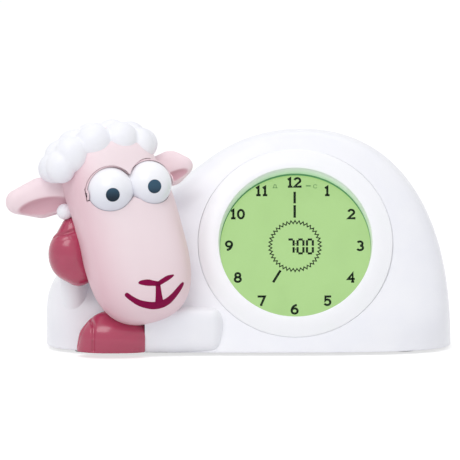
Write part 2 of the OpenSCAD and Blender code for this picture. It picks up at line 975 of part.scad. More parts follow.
// One ring of the head at share s of its half length, drawn in by t
function head_ring(s, t) =
    let (
        close = pow(max(0, 1 - pow(abs(s), 3.6)), 1 / 2.4),
        w = (head_half_w - t) * close * (1 - 0.05 * s),
        f = (face_depth - t) * close,
        b = ((crown_depth + chin_depth) / 2 + (crown_depth - chin_depth) / 2 * s - t) * close,
        p = 2 / head_power
    )
    [for (i = [0:head_n - 1])
        let (a = 360 * i / head_n, v = sgn_pow(sin(a), p))
        [w * sgn_pow(cos(a), p), s * (head_half - t), v > 0 ? v * b * -1 : v * f * -1]];

module head_block(t) {
    loft([for (k = [0:head_layers]) head_ring(sin(-89 + 178 * k / head_layers), t)]);
}

// Frame of the eyes: x along their common axis, y up, z forwards
module on_eyes() {
    translate([eye_side, eye_up, eye_out])
        rotate([0, 0, eye_roll])
            children();
}

module eye_pair(r) {
    on_eyes()
        for (side = [-1, 1])
            translate([side * eye_x, 0, 0])
                sphere(r = r, $fn = 48);
}

module eye_rod(x0, x1, r) {
    on_eyes()
        translate([x0, 0, 0])
            rotate([0, 90, 0])
                cylinder(h = x1 - x0, r = r, $fn = 48);
}

module head_cavity() {
    difference() {
        head_block(head_wall);
        for (p = head_bosses)
            translate([p[0], p[1], -crown_depth])
                cylinder(h = crown_depth + face_depth, r = 3.4, $fn = 24);
    }
}

head_bosses = [[-20, -8], [20, -8], [0, -47], [0, 50]];
head_screw_end = 7;
head_screw_head = -8;

module head_screw_holes() {
    for (p = head_bosses)
        translate([p[0], p[1], 0]) {
            translate([0, 0, head_screw_head - 0.05])
                cylinder(h = head_screw_end + 1 - head_screw_head, r = screw_r + 0.05, $fn = 16);
            translate([0, 0, head_screw_head - 30])
                cylinder(h = 30, r = 2.5, $fn = 20);
        }
}

module face_shell() {
    color(pink)
        on_head()
            difference() {
                head_block(0);
                head_cavity();
                head_screw_holes();
                eye_pair(socket_r);
                translate([-far / 2, -far / 2, head_seam - far / 2])
                    cube([far, far, far / 2]);
            }
}

module nape_shell() {
    color(white)
        difference() {
            on_head()
                difference() {
                    head_block(0);
                    head_cavity();
                    head_screw_holes();
                    translate([-far / 2, -far / 2, head_seam])
                        cube([far, far, far / 2]);
                }
            neck_rod(neck_r + fit, -6, 40);
        }
}

// Places and radii of the wool's curls in the head's frame
curl_r = 9.6;
curl_y = head_half - 19;
curl_front_z = face_depth - 12;
curl_back_z = 11 - crown_depth;
wool_curls = concat(
    [for (i = [0:5]) let (a = 163 - 24 * i)
        [-6 + (head_half_w - 1.8) * cos(a), curl_y - 1 + 13 * sin(a), curl_front_z, i == 0 ? curl_r - 0.6 : curl_r - 0.8]],
    [for (i = [0:6]) let (a = 176 - 27 * i)
        [-5 + (head_half_w - 0.8) * cos(a), curl_y + 16 * sin(a), 1, curl_r]],
    [for (i = [0:5]) let (a = 170 - 31 * i)
        [-4 + (head_half_w - 3.8) * cos(a), curl_y + 14 * sin(a), curl_back_z, curl_r]],
    [for (i = [0:2]) [-15 + 13 * i, curl_y + 10, curl_front_z - 3, curl_r - 1]],
    [for (i = [0:3]) [-22 + 14.5 * i, curl_y - 8, curl_back_z - 7, curl_r - 0.6]],
    [[-head_half_w - 1.2, curl_y - 20, curl_back_z + 3, curl_r - 2.1]]
);

module wool_cap() {
    color(white)
        on_head()
            difference() {
                for (c = wool_curls)
                    translate([c[0], c[1], c[2]])
                        hull()
                            sphere(r = c[3], $fn = 16);
                head_block(-0.05);
                eye_pair(socket_r + 0.6);
            }
}

// An ear between its root and its tip, in world directions, with its hollow on the front
module ear(root, tip, half_h, tip_r) {
    along = tip - root;
    middle = (root + tip) / 2;
    color(pink)
        difference() {
            hull() {
                translate(root)
                    scale([1, 0.7, 1])
                        sphere(r = 0.8 * half_h, $fn = 24);
                translate(middle + [0, 1, 0])
                    scale([1, 0.5, 1])
                        sphere(r = half_h, $fn = 32);
                translate(tip)
                    scale([1, 0.6, 1])
                        sphere(r = tip_r, $fn = 24);
            }
            hull() {
                translate(root + along * 0.42 + [0, -6.4, 0])
                    sphere(r = 3.4, $fn = 20);
                translate(root + along * 0.82 + [0, -5.6, 0])
                    sphere(r = 3, $fn = 20);
            }
            on_head()
                head_block(-0.05);
            on_head()
                for (c = wool_curls)
                    translate([c[0], c[1], c[2]])
                        hull()
                            sphere(r = c[3] + 0.1, $fn = 16);
        }
}

module ear_left() {
    ear(head_place + [-37.7, 7.6, 18], head_place + [-66.9, 2.6, 14], 11.5, 6.6);
}

module ear_right() {
    ear(head_place + [17.3, 16.6, 31], head_place + [34.3, 14.6, 35], 9.5, 5.6);
}

motor_x = 3;
motor_l = 14;
motor_r = 6;
motor_fit = 0.2;

module eyeballs() {
    color([0.97, 0.97, 1])
        on_head()
            difference() {
                eye_pair(eye_r);
                eye_rod(-40, 40, axle_r + running);
                eye_rod(motor_x - motor_fit, motor_x + motor_l + motor_fit, motor_r + motor_fit);
                on_eyes()
                    translate([motor_x - motor_fit, -motor_r - motor_fit, -20])
                        cube([motor_l + 2 * motor_fit, 2 * (motor_r + motor_fit), 20]);
            }
}

module eyelid_motor() {
    color(metal)
        on_head()
            difference() {
                union() {
                    eye_rod(motor_x, motor_x + motor_l, motor_r);
                    on_eyes()
                        translate([motor_x + 3, -3, -9.5])
                            cube([motor_l - 6, 6, 6]);
                }
                eye_rod(-40, 40, axle_r + running);
            }
}

// Direction of the two pupils in the head's frame, in degrees to the side and down
pupil_turn = [[-13, -15.5], [-3, -13]];

module pupils() {
    color([0.1, 0.2, 0.28])
        on_head()
            for (side = [0, 1])
                on_eyes()
                    translate([(2 * side - 1) * eye_x, 0, 0])
                        rotate([-pupil_turn[side][1], pupil_turn[side][0], 0])
                            difference() {
                                intersection() {
                                    sphere(r = eye_r + lid_gap / 2, $fn = 64);
                                    cylinder(h = 40, r = pupil_r, $fn = 48);
                                }
                                sphere(r = eye_r + 0.005, $fn = 64);
                            }
}

// The lid's shells start and end at these angles, counted from straight ahead over the top
lid_from = 72;
lid_to = 222;

// Radius and thickness of the lids' hubs on the axle
hub_r = 3.4;
hub_t = 0.6;

module on_each_eye() {
    on_eyes()
        for (side = [-1, 1])
            translate([side * eye_x, 0, 0])
                children();
}

// The lids' two spheres meet in one turned piece, which starts and ends at lid_from and lid_to
module lid_domes() {
    difference() {
        on_each_eye()
            rotate([0, 90, 0])
                rotate([0, 0, 180 - lid_to])
                    rotate_extrude(angle = lid_to - lid_from, $fn = 64)
                        intersection() {
                            circle(r = lid_out, $fn = 64);
                            translate([0, -lid_out])
                                square([lid_out, 2 * lid_out]);
                        }
        on_each_eye()
            rotate([0, 90, 0])
                rotate([0, 0, 180 - lid_to])
                    sphere(r = lid_in, $fn = 64);
    }
}

module eyelids() {
    color(pink)
        on_head()
            difference() {
                union() {
                    lid_domes();
                    eye_rod(eye_x + lid_in + 0.05, eye_x + lid_in + 0.05 + hub_t, hub_r);
                    eye_rod(-eye_x - lid_in - 0.05 - hub_t, -eye_x - lid_in - 0.05, hub_r);
                }
                eye_rod(-40, 40, axle_r);
            }
}

module lid_axle() {
    color(metal)
        on_head()
            eye_rod(-eye_x - lid_out + 0.1, eye_x + lid_out - 0.1, axle_r);
}

bracket_y = eye_up - socket_r - 1;

module eye_bracket() {
    color([0.85, 0.85, 0.85])
        on_head()
            difference() {
                union() {
                    for (side = [-1, 1])
                        translate([eye_side + side * eye_x - 2, 0, 0]) {
                            translate([0, bracket_y - 3, head_seam - 1.6])
                                cube([4, 3.6, eye_out - head_seam + 0.6]);
                            translate([0, bracket_y - 3, eye_out - 8])
                                cube([4, 11, 7]);
                        }
                    translate([-23.4, -12, head_seam - 1.6])
                        cube([46.8, 30, 1.6]);
                }
                eye_pair(eye_r + 0.02);
                for (p = [head_bosses[0], head_bosses[1]])
                    translate([p[0], p[1], -20])
                        cylinder(h = 40, r = 3.5, $fn = 32);
            }
}

module head_screws() {
    color(metal)
        on_head()
            for (p = head_bosses)
                translate([p[0], p[1], head_screw_head])
                    mirror([0, 0, 1])
                        screw(head_screw_end - head_screw_head, head_r = 2.2);
}

module neck_mount() {
    color(white)
        difference() {
            union() {
                neck_rod(neck_r, -8, 7.5);
                neck_rod(neck_r + 3, -8, -wall - 3.4);
            }
            neck_rod(neck_r - 3, -20, 30);
        }
}

// ---- Legs ----

leg_r = 14;
// Where the foreleg starts and ends, and where the hooves and the raised arm lie
leg_from = [neck_at[0], front_y - 1, rim_z + 14.5];
leg_to = [neck_at[0] + 40, front_y + 6, rim_z + 13.5];
hoof_r = 19;
hoof_at = [head_at[0] - 11.7, front_y - 3, rim_z + 12.8];
hoof_cut_z = rim_z - 1.6;
arm_r = 9;
arm_from = [head_at[0] - 30.7, front_y + 14, rim_z + 32];
arm_to = head_place + [-32.7, 7.6, -21];
paw_r = 12.7;
paw_at = head_place + [-35.1, 0.6, -18];
paw_tip = head_place + [-30.7, -0.4, -3];

module body_solid() {
    body_block(-0.25, -2);
}

module foreleg() {
    color(white)
        difference() {
            hull() {
                translate(leg_from)
                    sphere(r = leg_r, $fn = 32);
                translate(leg_to)
                    sphere(r = leg_r - 1, $fn = 32);
            }
            body_solid();
            floor_hoof_block(0.15);
            on_head()
                head_block(-0.3);
            translate([-far, -far, rim_z - far])
                cube([2 * far, 2 * far, far]);
        }
}

module floor_hoof_block(grow) {
    hull() {
        translate(hoof_at)
            scale([1, 0.9, 0.685])
                sphere(r = hoof_r + grow, $fn = 32);
        translate(hoof_at + [11, 2, 1.2])
            sphere(r = hoof_r - 6 + grow, $fn = 24);
        translate(hoof_at + [-8, 0, -4.4])
            sphere(r = hoof_r - 10.2 + grow, $fn = 24);
    }
}

module floor_hoof() {
    color(hoof_pink)
        difference() {
            floor_hoof_block(0);
            body_solid();
            on_head()
                head_block(-0.3);
            hull() {
                translate(hoof_at + [-8, -27, 25.2])
                    cube([1, 60, 1], center = true);
                translate(hoof_at + [-10, -27, -2.8])
                    cube([0.4, 20, 1], center = true);
            }
            translate([-far, -far, hoof_cut_z - far])
                cube([2 * far, 2 * far, far]);
        }
}

module raised_arm() {
    color(white)
        difference() {
            hull() {
                translate(arm_from)
                    sphere(r = arm_r, $fn = 28);
                translate(arm_to)
                    sphere(r = arm_r - 0.5, $fn = 28);
            }
            body_solid();
            cheek_hoof_block(0.15);
            on_head()
                head_block(-0.3);
            floor_hoof_block(0.3);
        }
}

module cheek_hoof_block(grow) {
    hull() {
        translate(paw_at)
            scale([1, 1, 1.3])
                sphere(r = paw_r + grow, $fn = 32);
        translate(paw_at + [6.4, -1, -9])
            sphere(r = paw_r - 3.1 + grow, $fn = 24);
    }
    hull() {
        translate(paw_tip)
            sphere(r = paw_r - 4.1 + grow, $fn = 24);
        translate(paw_tip + [-2, 0, -3])
            sphere(r = paw_r - 2.9 + grow, $fn = 24);
    }
}

module cheek_hoof() {
    color(hoof_pink)
        difference() {
            cheek_hoof_block(0);
            body_solid();
            on_head()
                head_block(-0.3);
        }
}

whole() front_shell();
whole() rear_shell();
whole() base_plate();
whole() rubber_feet();
whole() shell_screws();
whole() base_screws();
whole() bezel_ring();
whole() clear_lens();
whole() lcd_panel();
whole() light_guide();
whole() reflector_sheet();
whole() backlight_leds();
whole() lcd_frame();
whole() zebra_strips();
whole() main_board();
whole() board_chips();
whole() display_screws();
whole() rear_panel();
whole() panel_screws();
whole() speaker_frame();
whole() speaker_cone();
whole() speaker_magnet();
whole() speaker_screws();
whole() battery_box();
whole() battery_springs();
whole() battery_plates();
whole() battery_cells();
whole() battery_door();
whole() door_screw();
whole() button_board();
whole() tact_switches();
whole() button_alarm();
whole() button_light();
whole() button_clock();
whole() button_minus();
whole() button_plus();
whole() switch_body();
whole() switch_knob();
whole() power_inlet();
whole() inlet_pin();
whole() night_board();
whole() night_leds();
whole() face_shell();
whole() nape_shell();
whole() wool_cap();
whole() ear_left();
whole() ear_right();
whole() eyeballs();
whole() pupils();
whole() eyelids();
whole() lid_axle();
whole() eyelid_motor();
whole() eye_bracket();
whole() head_screws();
whole() neck_mount();
whole() foreleg();
whole() raised_arm();
whole() cheek_hoof();
whole() floor_hoof();
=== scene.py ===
"""A child's alarm clock with a night light and a lying sheep: its visible shapes and finishes."""

import logging
import math
from collections.abc import Callable, Iterable, Sequence
from dataclasses import dataclass, field
from enum import Enum

import bmesh
import bpy
import numpy as np
from mathutils import Matrix, Vector
from mathutils.bvhtree import BVHTree


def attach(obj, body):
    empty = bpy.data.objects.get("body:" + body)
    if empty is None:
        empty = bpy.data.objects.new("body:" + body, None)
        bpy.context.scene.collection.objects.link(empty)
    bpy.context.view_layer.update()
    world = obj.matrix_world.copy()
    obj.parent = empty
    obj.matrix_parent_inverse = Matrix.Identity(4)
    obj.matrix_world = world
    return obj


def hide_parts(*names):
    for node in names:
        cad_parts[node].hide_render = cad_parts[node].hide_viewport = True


log = logging.getLogger("alarm_clock")

MM = 0.001
Colour = tuple[float, float, float, float]
Point = tuple[float, float, float]
Flat = tuple[float, float]
ORIGIN: Point = (0.0, 0.0, 0.0)

# How far the clock's middle lies behind the origin, in millimetres
SHIFT = 13.0
# How far the view from the front looks down, in degrees
VIEW_RISE = 7.0


def rgb(red: float, green: float, blue: float) -> Colour:
    """Turns a screen colour into linear light.

    Args:
        red: Red, from 0 to 255.
        green: Green, from 0 to 255.
        blue: Blue, from 0 to 255.

    Returns:
        The colour as linear red, green, blue and an opaque alpha.
    """

    def linear(level: float) -> float:
        """One channel in linear light."""
        return level / 255 / 12.92 if level <= 10.3 else ((level / 255 + 0.055) / 1.055) ** 2.4

    return (linear(red), linear(green), linear(blue), 1.0)


# ---- Shader sheets ----


def operator(operation: str, flipped: bool = False) -> Callable[["Link", "Link | float"], "Link"]:
    """A method for links that adds one Math node.

    Args:
        operation: The Math node's operation.
        flipped: Whether the link is the second of the two values.

    Returns:
        The method.
    """

    def method(self: "Link", other: "Link | float") -> "Link":
        """Adds the node for the link and the other value."""
        return self.math(operation, other, self) if flipped else self.math(operation, self, other)

    return method


class Link:
    """An output socket on a node sheet, on which Python's operators add Math nodes."""

    def __init__(self, sheet: "Sheet", socket: bpy.types.NodeSocket) -> None:
        """Wraps a socket of a sheet."""
        self.sheet = sheet
        self.socket = socket

    def math(self, operation: str, *values: "Link | float") -> "Link":
        """Adds a Math node with its values in order."""
        return self.sheet.node("ShaderNodeMath", {"operation": operation}, dict(enumerate(values)))

    __add__ = operator("ADD")
    __radd__ = operator("ADD", flipped=True)
    __sub__ = operator("SUBTRACT")
    __rsub__ = operator("SUBTRACT", flipped=True)
    __mul__ = operator("MULTIPLY")
    __truediv__ = operator("DIVIDE")
    least = operator("MINIMUM")
    most = operator("MAXIMUM")

    def __abs__(self) -> "Link":
        """The value without its sign."""
        return self.math("ABSOLUTE", self)

    def sine(self) -> "Link":
        """The sine of the value in radians."""
        return self.math("SINE", self)

    def step(self, low: float, high: float) -> "Link":
        """Rises smoothly from 0 at low to 1 at high."""
        inputs = {"Value": self, "From Min": low, "From Max": high}
        return self.sheet.node("ShaderNodeMapRange", {"interpolation_type": "SMOOTHSTEP"}, inputs)


class Sheet:
    """The node sheet of one material or world."""

    def __init__(self, name: str, owners: str = "materials") -> None:
        """Starts an empty sheet for a new material, or a new world, of that name."""
        self.material = getattr(bpy.data, owners).new(name)
        self.material.use_nodes = True
        self.tree = self.material.node_tree
        self.tree.nodes.clear()
        self._place: Link | None = None

    def node(
        self,
        kind: str,
        settings: dict[str, object] | None = None,
        inputs: dict[str | int, object] | None = None,
        output: str | int = 0,
    ) -> Link:
        """Adds one node.

        Args:
            kind: The node's type.
            settings: The node's own settings, set first; "stops" holds a ramp's places and colours.
            inputs: Values or links of its input sockets, by name or index.
            output: The output to return, by name or index.

        Returns:
            That output.
        """
        made = self.tree.nodes.new(kind)
        for key, value in (settings or {}).items():
            if key == "stops":
                ramp = made.color_ramp.elements
                while len(ramp) < len(value):
                    ramp.new(0.5)
                for stop, (at, colour) in zip(ramp, value, strict=False):
                    stop.position, stop.color = at, colour
            else:
                setattr(made, key, value)
        for key, value in (inputs or {}).items():
            if isinstance(value, Link):
                self.tree.links.new(value.socket, made.inputs[key])
            else:
                made.inputs[key].default_value = value
        return Link(self, made.outputs[output] if made.outputs else made.inputs[0])

    def place(self) -> Link:
        """The point in the object's own coordinates, in metres."""
        if self._place is None:
            self._place = self.node("ShaderNodeTexCoord", output="Object")
        return self._place

    def axes(self) -> tuple[Link, Link, Link]:
        """The point's x, y and z in the object's own coordinates, in metres."""
        split = self.node("ShaderNodeSeparateXYZ", inputs={0: self.place()})
        x, y, z = (Link(self, output) for output in split.socket.node.outputs)
        return x, y, z

    def noise(self, scale: float, detail: float = 2.0, stretch: Point | None = None) -> Link:
        """A noise pattern.

        Args:
            scale: Cells in a metre.
            detail: Octaves.
            stretch: Factors on the three axes, or None.

        Returns:
            A value about 0.5.
        """
        where = self.place()
        if stretch is not None:
            where = self.node("ShaderNodeVectorMath", {"operation": "MULTIPLY"}, {0: where, 1: stretch})
        return self.node("ShaderNodeTexNoise", inputs={"Vector": where, "Scale": scale, "Detail": detail})

    def mix(self, first: "Link | Colour", second: "Link | Colour", share: "Link | float") -> Link:
        """Mixes two colours.

        Args:
            first: The colour at share 0.
            second: The colour at share 1.
            share: The share of the second.

        Returns:
            The mixed colour.
        """
        return self.node("ShaderNodeMix", {"data_type": "RGBA"}, {0: share, 6: first, 7: second}, 2)

    def bump(self, height: Link, distance: float) -> Link:
        """A normal bent by a height of 0 to 1, whose full size is given in metres."""
        return self.node("ShaderNodeBump", inputs={"Strength": 1.0, "Distance": distance, "Height": height})

    def close(self, surface: Link, kind: str = "Material") -> bpy.types.Material:
        """Ends the sheet in its surface.

        Args:
            surface: The shader that the material or the world shows.
            kind: Material or World.

        Returns:
            The material or the world.
        """
        self.node(f"ShaderNodeOutput{kind}", inputs={"Surface": surface})
        return self.material

    def surface(self, inputs: dict[str | int, object]) -> bpy.types.Material:
        """Ends the sheet in a principled surface with those sockets set or linked."""
        return self.close(self.node("ShaderNodeBsdfPrincipled", inputs=inputs))


# ---- Finishes ----


@dataclass(frozen=True)
class Moulded:
    """Injection-moulded plastic with the fine grain of its tool and a faint unevenness in tone."""

    name: str
    colour: Colour
    shade: Colour
    roughness: float = 0.38
    grain: float = 12e-6
    grain_scale: float = 2600.0
    coat: float = 0.0
    specular: float = 0.5

    def make(self) -> bpy.types.Material:
        """The material."""
        sheet = Sheet(self.name)
        cloudy = sheet.noise(38.0, 3.0).step(0.3, 0.75)
        fine = sheet.noise(self.grain_scale, 2.0)
        return sheet.surface(
            {
                "Base Color": sheet.mix(self.colour, self.shade, cloudy * 0.35),
                "Roughness": self.roughness + (sheet.noise(160.0, 3.0) - 0.5) * 0.12,
                "Normal": sheet.bump(fine, self.grain),
                "Specular IOR Level": self.specular,
                "Coat Weight": self.coat,
                "Coat Roughness": 0.12,
            }
        )


@dataclass(frozen=True)
class Metal:
    """Plated or bare metal with drawn lines."""

    name: str
    colour: Colour
    roughness: float = 0.32
    lines: Point = (1.0, 1.0, 14.0)

    def make(self) -> bpy.types.Material:
        """The material."""
        sheet = Sheet(self.name)
        drawn = sheet.noise(420.0, 3.0, self.lines)
        dull = sheet.noise(90.0, 4.0).step(0.45, 0.8)
        return sheet.surface(
            {
                "Base Color": sheet.mix(self.colour, rgb(120, 118, 116), dull * 0.3),
                "Metallic": 1.0,
                "Roughness": self.roughness + (drawn - 0.5) * 0.2,
                "Normal": sheet.bump(drawn, 8e-6),
            }
        )


@dataclass(frozen=True)
class Laminate:
    """A printed circuit board with its copper tracks under green resist."""

    name: str = "board_green"
    colour: Colour = rgb(28, 96, 58)
    track: Colour = rgb(58, 138, 84)
    pitch: float = 0.0022

    def make(self) -> bpy.types.Material:
        """The material."""
        sheet = Sheet(self.name)
        x, _, _ = sheet.axes()
        settings = {"distance": "MANHATTAN", "feature": "F1"}
        inputs = {"Vector": sheet.place(), "Scale": 1 / self.pitch / 2}
        cells = sheet.node("ShaderNodeTexVoronoi", settings, inputs)
        edges = cells.step(0.42, 0.5)
        lines = ((x * (2 * math.pi / self.pitch)).sine() * 0.5 + 0.5).step(0.6, 0.8)
        copper = (edges * 0.6 + lines * 0.5).least(1.0)
        return sheet.surface(
            {
                "Base Color": sheet.mix(self.colour, self.track, copper),
                "Roughness": 0.3 + copper * 0.12,
                "Normal": sheet.bump(copper, 30e-6),
                "Coat Weight": 0.3,
            }
        )


@dataclass(frozen=True)
class Clear:
    """A clear plastic sheet whose surface still catches the light."""

    name: str
    colour: Colour = rgb(244, 252, 246)
    alpha: float = 0.07
    roughness: float = 0.06
    specular: float = 0.4

    def make(self) -> bpy.types.Material:
        """The material."""
        sheet = Sheet(self.name)
        haze = sheet.noise(55.0, 3.0).step(0.4, 0.8)
        return sheet.surface(
            {
                "Base Color": self.colour,
                "Roughness": self.roughness + haze * 0.06,
                "Alpha": self.alpha + haze * 0.02,
                "Normal": sheet.bump(sheet.noise(300.0, 2.0), 3e-6),
                "Specular IOR Level": self.specular,
            }
        )


@dataclass(frozen=True)
class Glowing:
    """A surface lit from behind, with the slight unevenness of its light guide."""

    name: str
    colour: Colour
    dim: Colour
    strength: float = 1.0
    body: Colour = rgb(40, 56, 34)
    clouds: float = 26.0

    def make(self) -> bpy.types.Material:
        """The material."""
        sheet = Sheet(self.name)
        uneven = sheet.noise(self.clouds, 2.0).step(0.35, 0.75)
        dots = sheet.noise(1900.0, 1.0)
        return sheet.surface(
            {
                "Base Color": self.body,
                "Roughness": 0.42 + dots * 0.1,
                "Emission Color": sheet.mix(self.colour, self.dim, uneven * 0.5),
                "Emission Strength": self.strength,
                "Normal": sheet.bump(dots, 5e-6),
            }
        )


@dataclass(frozen=True)
class Wrapped:
    """The printed sleeve of a battery cell: dark with one coloured end."""

    name: str = "cell_wrap"
    dark: Colour = rgb(34, 35, 40)
    bright: Colour = rgb(196, 140, 62)
    across: float = 0.0115

    def make(self) -> bpy.types.Material:
        """The material."""
        sheet = Sheet(self.name)
        x, _, _ = sheet.axes()
        band = (x - self.across).step(0.0, 0.0006)
        scuff = sheet.noise(220.0, 4.0).step(0.55, 0.75)
        printed = sheet.mix(self.dark, self.bright, band)
        return sheet.surface(
            {
                "Base Color": sheet.mix(printed, rgb(150, 148, 146), scuff * 0.25),
                "Roughness": 0.28 + scuff * 0.3,
                "Metallic": band * 0.5,
                "Normal": sheet.bump(scuff, 10e-6),
            }
        )


@dataclass(frozen=True)
class Tinted:
    """Satin paint that runs to its deeper tone where each point's share says so. On the bezel the deeper tone
    is a painted reflection of the display's green light; in an ear's hollow it is the ear's deeper pink with
    painted shade.
    """

    name: str
    colour: Colour
    deep: Colour
    roughness: float = 0.42
    grain: float = 9e-6

    def make(self) -> bpy.types.Material:
        """The material."""
        sheet = Sheet(self.name)
        # The share read here carries painted reflection on the bezel and painted shade in the ears.
        tint = sheet.node("ShaderNodeAttribute", {"attribute_name": "tint"}, output="Fac")
        cloudy = sheet.noise(48.0, 3.0).step(0.3, 0.75)
        share = (tint + (cloudy - 0.5) * 0.06).least(1.0).most(0.0)
        return sheet.surface(
            {
                "Base Color": sheet.mix(self.colour, self.deep, share),
                "Roughness": self.roughness + (sheet.noise(190.0, 3.0) - 0.5) * 0.1,
                "Normal": sheet.bump(sheet.noise(2400.0, 2.0), self.grain),
            }
        )


@dataclass(frozen=True)
class Glossy:
    """A hard glossy ball whose colour runs from its low tone at from_z to its high tone at to_z."""

    name: str
    low: Colour
    high: Colour
    from_z: float
    to_z: float
    roughness: float = 0.18
    specular: float = 0.5

    def make(self) -> bpy.types.Material:
        """The material."""
        sheet = Sheet(self.name)
        _, _, z = sheet.axes()
        share = z.step(self.from_z, self.to_z)
        return sheet.surface(
            {
                "Base Color": sheet.mix(self.low, self.high, share),
                "Roughness": self.roughness + (sheet.noise(240.0, 2.0) - 0.5) * 0.08,
                "Normal": sheet.bump(sheet.noise(1800.0, 2.0), 4e-6),
                "Specular IOR Level": self.specular,
            }
        )


# ---- Shapes ----


def frame_of(origin: Point, right: Point, up: Point, out: Point) -> Matrix:
    """A frame in millimetres.

    Args:
        origin: Its origin.
        right: Its x axis.
        up: Its y axis.
        out: Its z axis.

    Returns:
        The matrix that takes points of the frame to the clock.
    """
    turn = Matrix((right, up, out)).transposed().to_4x4()
    return Matrix.Translation(origin) @ turn


def spin(degrees: float, axis: str) -> Matrix:
    """A turn about one of the axes."""
    return Matrix.Rotation(math.radians(degrees), 4, axis)


def shown(name: str, data: bpy.types.ID) -> bpy.types.Object:
    """A new object of the scene that holds some data."""
    made = bpy.data.objects.new(name, data)
    bpy.context.scene.collection.objects.link(made)
    return made


def metres(frame: Matrix) -> Matrix:
    """The same frame for points in metres."""
    out = frame.copy()
    out.translation = frame.translation * MM
    return out


def placed(points: np.ndarray, frame: Matrix) -> np.ndarray:
    """Takes points of a frame to the clock.

    Args:
        points: One point a row, in millimetres.
        frame: The frame.

    Returns:
        The points, in millimetres.
    """
    turn = np.array(frame.to_3x3())
    return points @ turn.T + np.array(frame.translation)


class Shape:
    """A mesh under construction, in millimetres until it becomes a piece."""

    def __init__(self, points: np.ndarray, faces: Sequence[Sequence[int]]) -> None:
        """Takes the points and the faces."""
        self.points = np.asarray(points, float).reshape(-1, 3)
        self.faces = [tuple(int(i) for i in f) for f in faces]

    def __add__(self, other: "Shape") -> "Shape":
        """Both shapes in one mesh."""
        start = len(self.points)
        others = [tuple(i + start for i in face) for face in other.faces]
        return Shape(np.vstack([self.points, other.points]), self.faces + others)

    def on(self, frame: Matrix) -> "Shape":
        """The shape, moved to a frame."""
        return Shape(placed(self.points, frame), self.faces)

    def moved(self, by: Point) -> "Shape":
        """The shape, moved along."""
        return self.on(Matrix.Translation(by))

    def bm(self) -> bmesh.types.BMesh:
        """The shape as a bmesh in millimetres, with its faces turned outwards."""
        mesh = bmesh.new()
        points = [mesh.verts.new(p) for p in self.points]
        for face in self.faces:
            mesh.faces.new([points[i] for i in face])
        bmesh.ops.remove_doubles(mesh, verts=mesh.verts, dist=1e-4)
        bmesh.ops.recalc_face_normals(mesh, faces=mesh.faces)
        return mesh

    @staticmethod
    def of(mesh: bmesh.types.BMesh) -> "Shape":
        """A shape from a bmesh, which is freed."""
        mesh.verts.index_update()
        made = Shape(np.array([v.co for v in mesh.verts]), [[v.index for v in f.verts] for f in mesh.faces])
        mesh.free()
        return made

    @staticmethod
    def taken(spent: bpy.types.Object) -> "Shape":
        """A shape from a bare object in metres, which is removed."""
        mesh = bmesh.new()
        mesh.from_mesh(spent.data)
        bmesh.ops.scale(mesh, vec=(1 / MM, 1 / MM, 1 / MM), verts=mesh.verts)
        drop(spent)
        return Shape.of(mesh)

    def _sliced(self, at: Point, away: Point, **rest: bool) -> tuple[bmesh.types.BMesh, list]:
        """The shape as a bmesh with new edges where a plane crosses it, and what lies on the plane."""
        mesh = self.bm()
        everything = [*mesh.verts, *mesh.edges, *mesh.faces]
        cut = bmesh.ops.bisect_plane(mesh, geom=everything, dist=1e-5, plane_co=at, plane_no=away, **rest)
        return mesh, cut["geom_cut"]

    def scored(self, at: Point, away: Point) -> "Shape":
        """The shape with new edges where a plane crosses it."""
        return Shape.of(self._sliced(at, away)[0])

    def half(self, at: Point, away: Point, closed: bool = True) -> "Shape":
        """Keeps what lies behind a plane.

        Args:
            at: A point on the plane.
            away: The side that goes.
            closed: Whether the cut is filled.

        Returns:
            The rest.
        """
        mesh, cut = self._sliced(at, away, clear_outer=True)
        if closed:
            edges = [e for e in cut if isinstance(e, bmesh.types.BMEdge) and e.is_boundary]
            bmesh.ops.triangle_fill(mesh, edges=edges, use_beauty=True)
            bmesh.ops.recalc_face_normals(mesh, faces=mesh.faces)
        return Shape.of(mesh)

    def tool(self, name: str = "tool") -> bpy.types.Object:
        """The shape as a bare object in metres."""
        mesh = self.bm()
        bmesh.ops.scale(mesh, vec=(MM, MM, MM), verts=mesh.verts)
        data = bpy.data.meshes.new(name)
        mesh.to_mesh(data)
        mesh.free()
        return shown(name, data)

    def _joined(self, other: "Shape", operation: str) -> "Shape":
        """Runs one boolean between the two shapes."""
        mine, theirs = self.tool(), other.tool()
        step = mine.modifiers.new("joined", "BOOLEAN")
        step.operation, step.solver, step.object = operation, "EXACT", theirs
        settle(mine)
        drop(theirs)
        return Shape.taken(mine)

    def less(self, other: "Shape") -> "Shape":
        """The shape without the other."""
        return self._joined(other, "DIFFERENCE")

    def with_(self, other: "Shape") -> "Shape":
        """The shape and the other as one solid."""
        return self._joined(other, "UNION")

    def melted(self, voxel: float, smooth: int, factor: float = 0.5) -> "Shape":
        """One skin over overlapping solids, with soft creases.

        Args:
            voxel: The remesh's cell in millimetres.
            smooth: How often it is smoothed.
            factor: How far each smoothing goes.

        Returns:
            The skin.
        """
        mine = self.tool()
        cells = mine.modifiers.new("cells", "REMESH")
        cells.mode, cells.voxel_size = "VOXEL", voxel * MM
        relax = mine.modifiers.new("relax", "SMOOTH")
        relax.factor, relax.iterations = factor, smooth
        settle(mine)
        return Shape.taken(mine)

    def tree(self) -> BVHTree:
        """A search tree over the shape's faces, in millimetres."""
        return BVHTree.FromPolygons([Vector(p) for p in self.points], self.faces)


def together(shapes: Iterable[Shape]) -> Shape:
    """Several shapes in one mesh."""
    made, *others = shapes
    for other in others:
        made = made + other
    return made


def drop(spent: bpy.types.Object) -> None:
    """Removes an object and its mesh."""
    data = spent.data
    bpy.data.objects.remove(spent)
    bpy.data.meshes.remove(data)


def seal(data: bpy.types.Mesh, sides: int = 6) -> None:
    """Closes the slits of a few sides that a cut can leave."""
    mesh = bmesh.new()
    mesh.from_mesh(data)
    slits = [e for e in mesh.edges if e.is_boundary]
    if slits:
        bmesh.ops.holes_fill(mesh, edges=slits, sides=sides)
        bmesh.ops.recalc_face_normals(mesh, faces=mesh.faces)
        mesh.to_mesh(data)
    mesh.free()


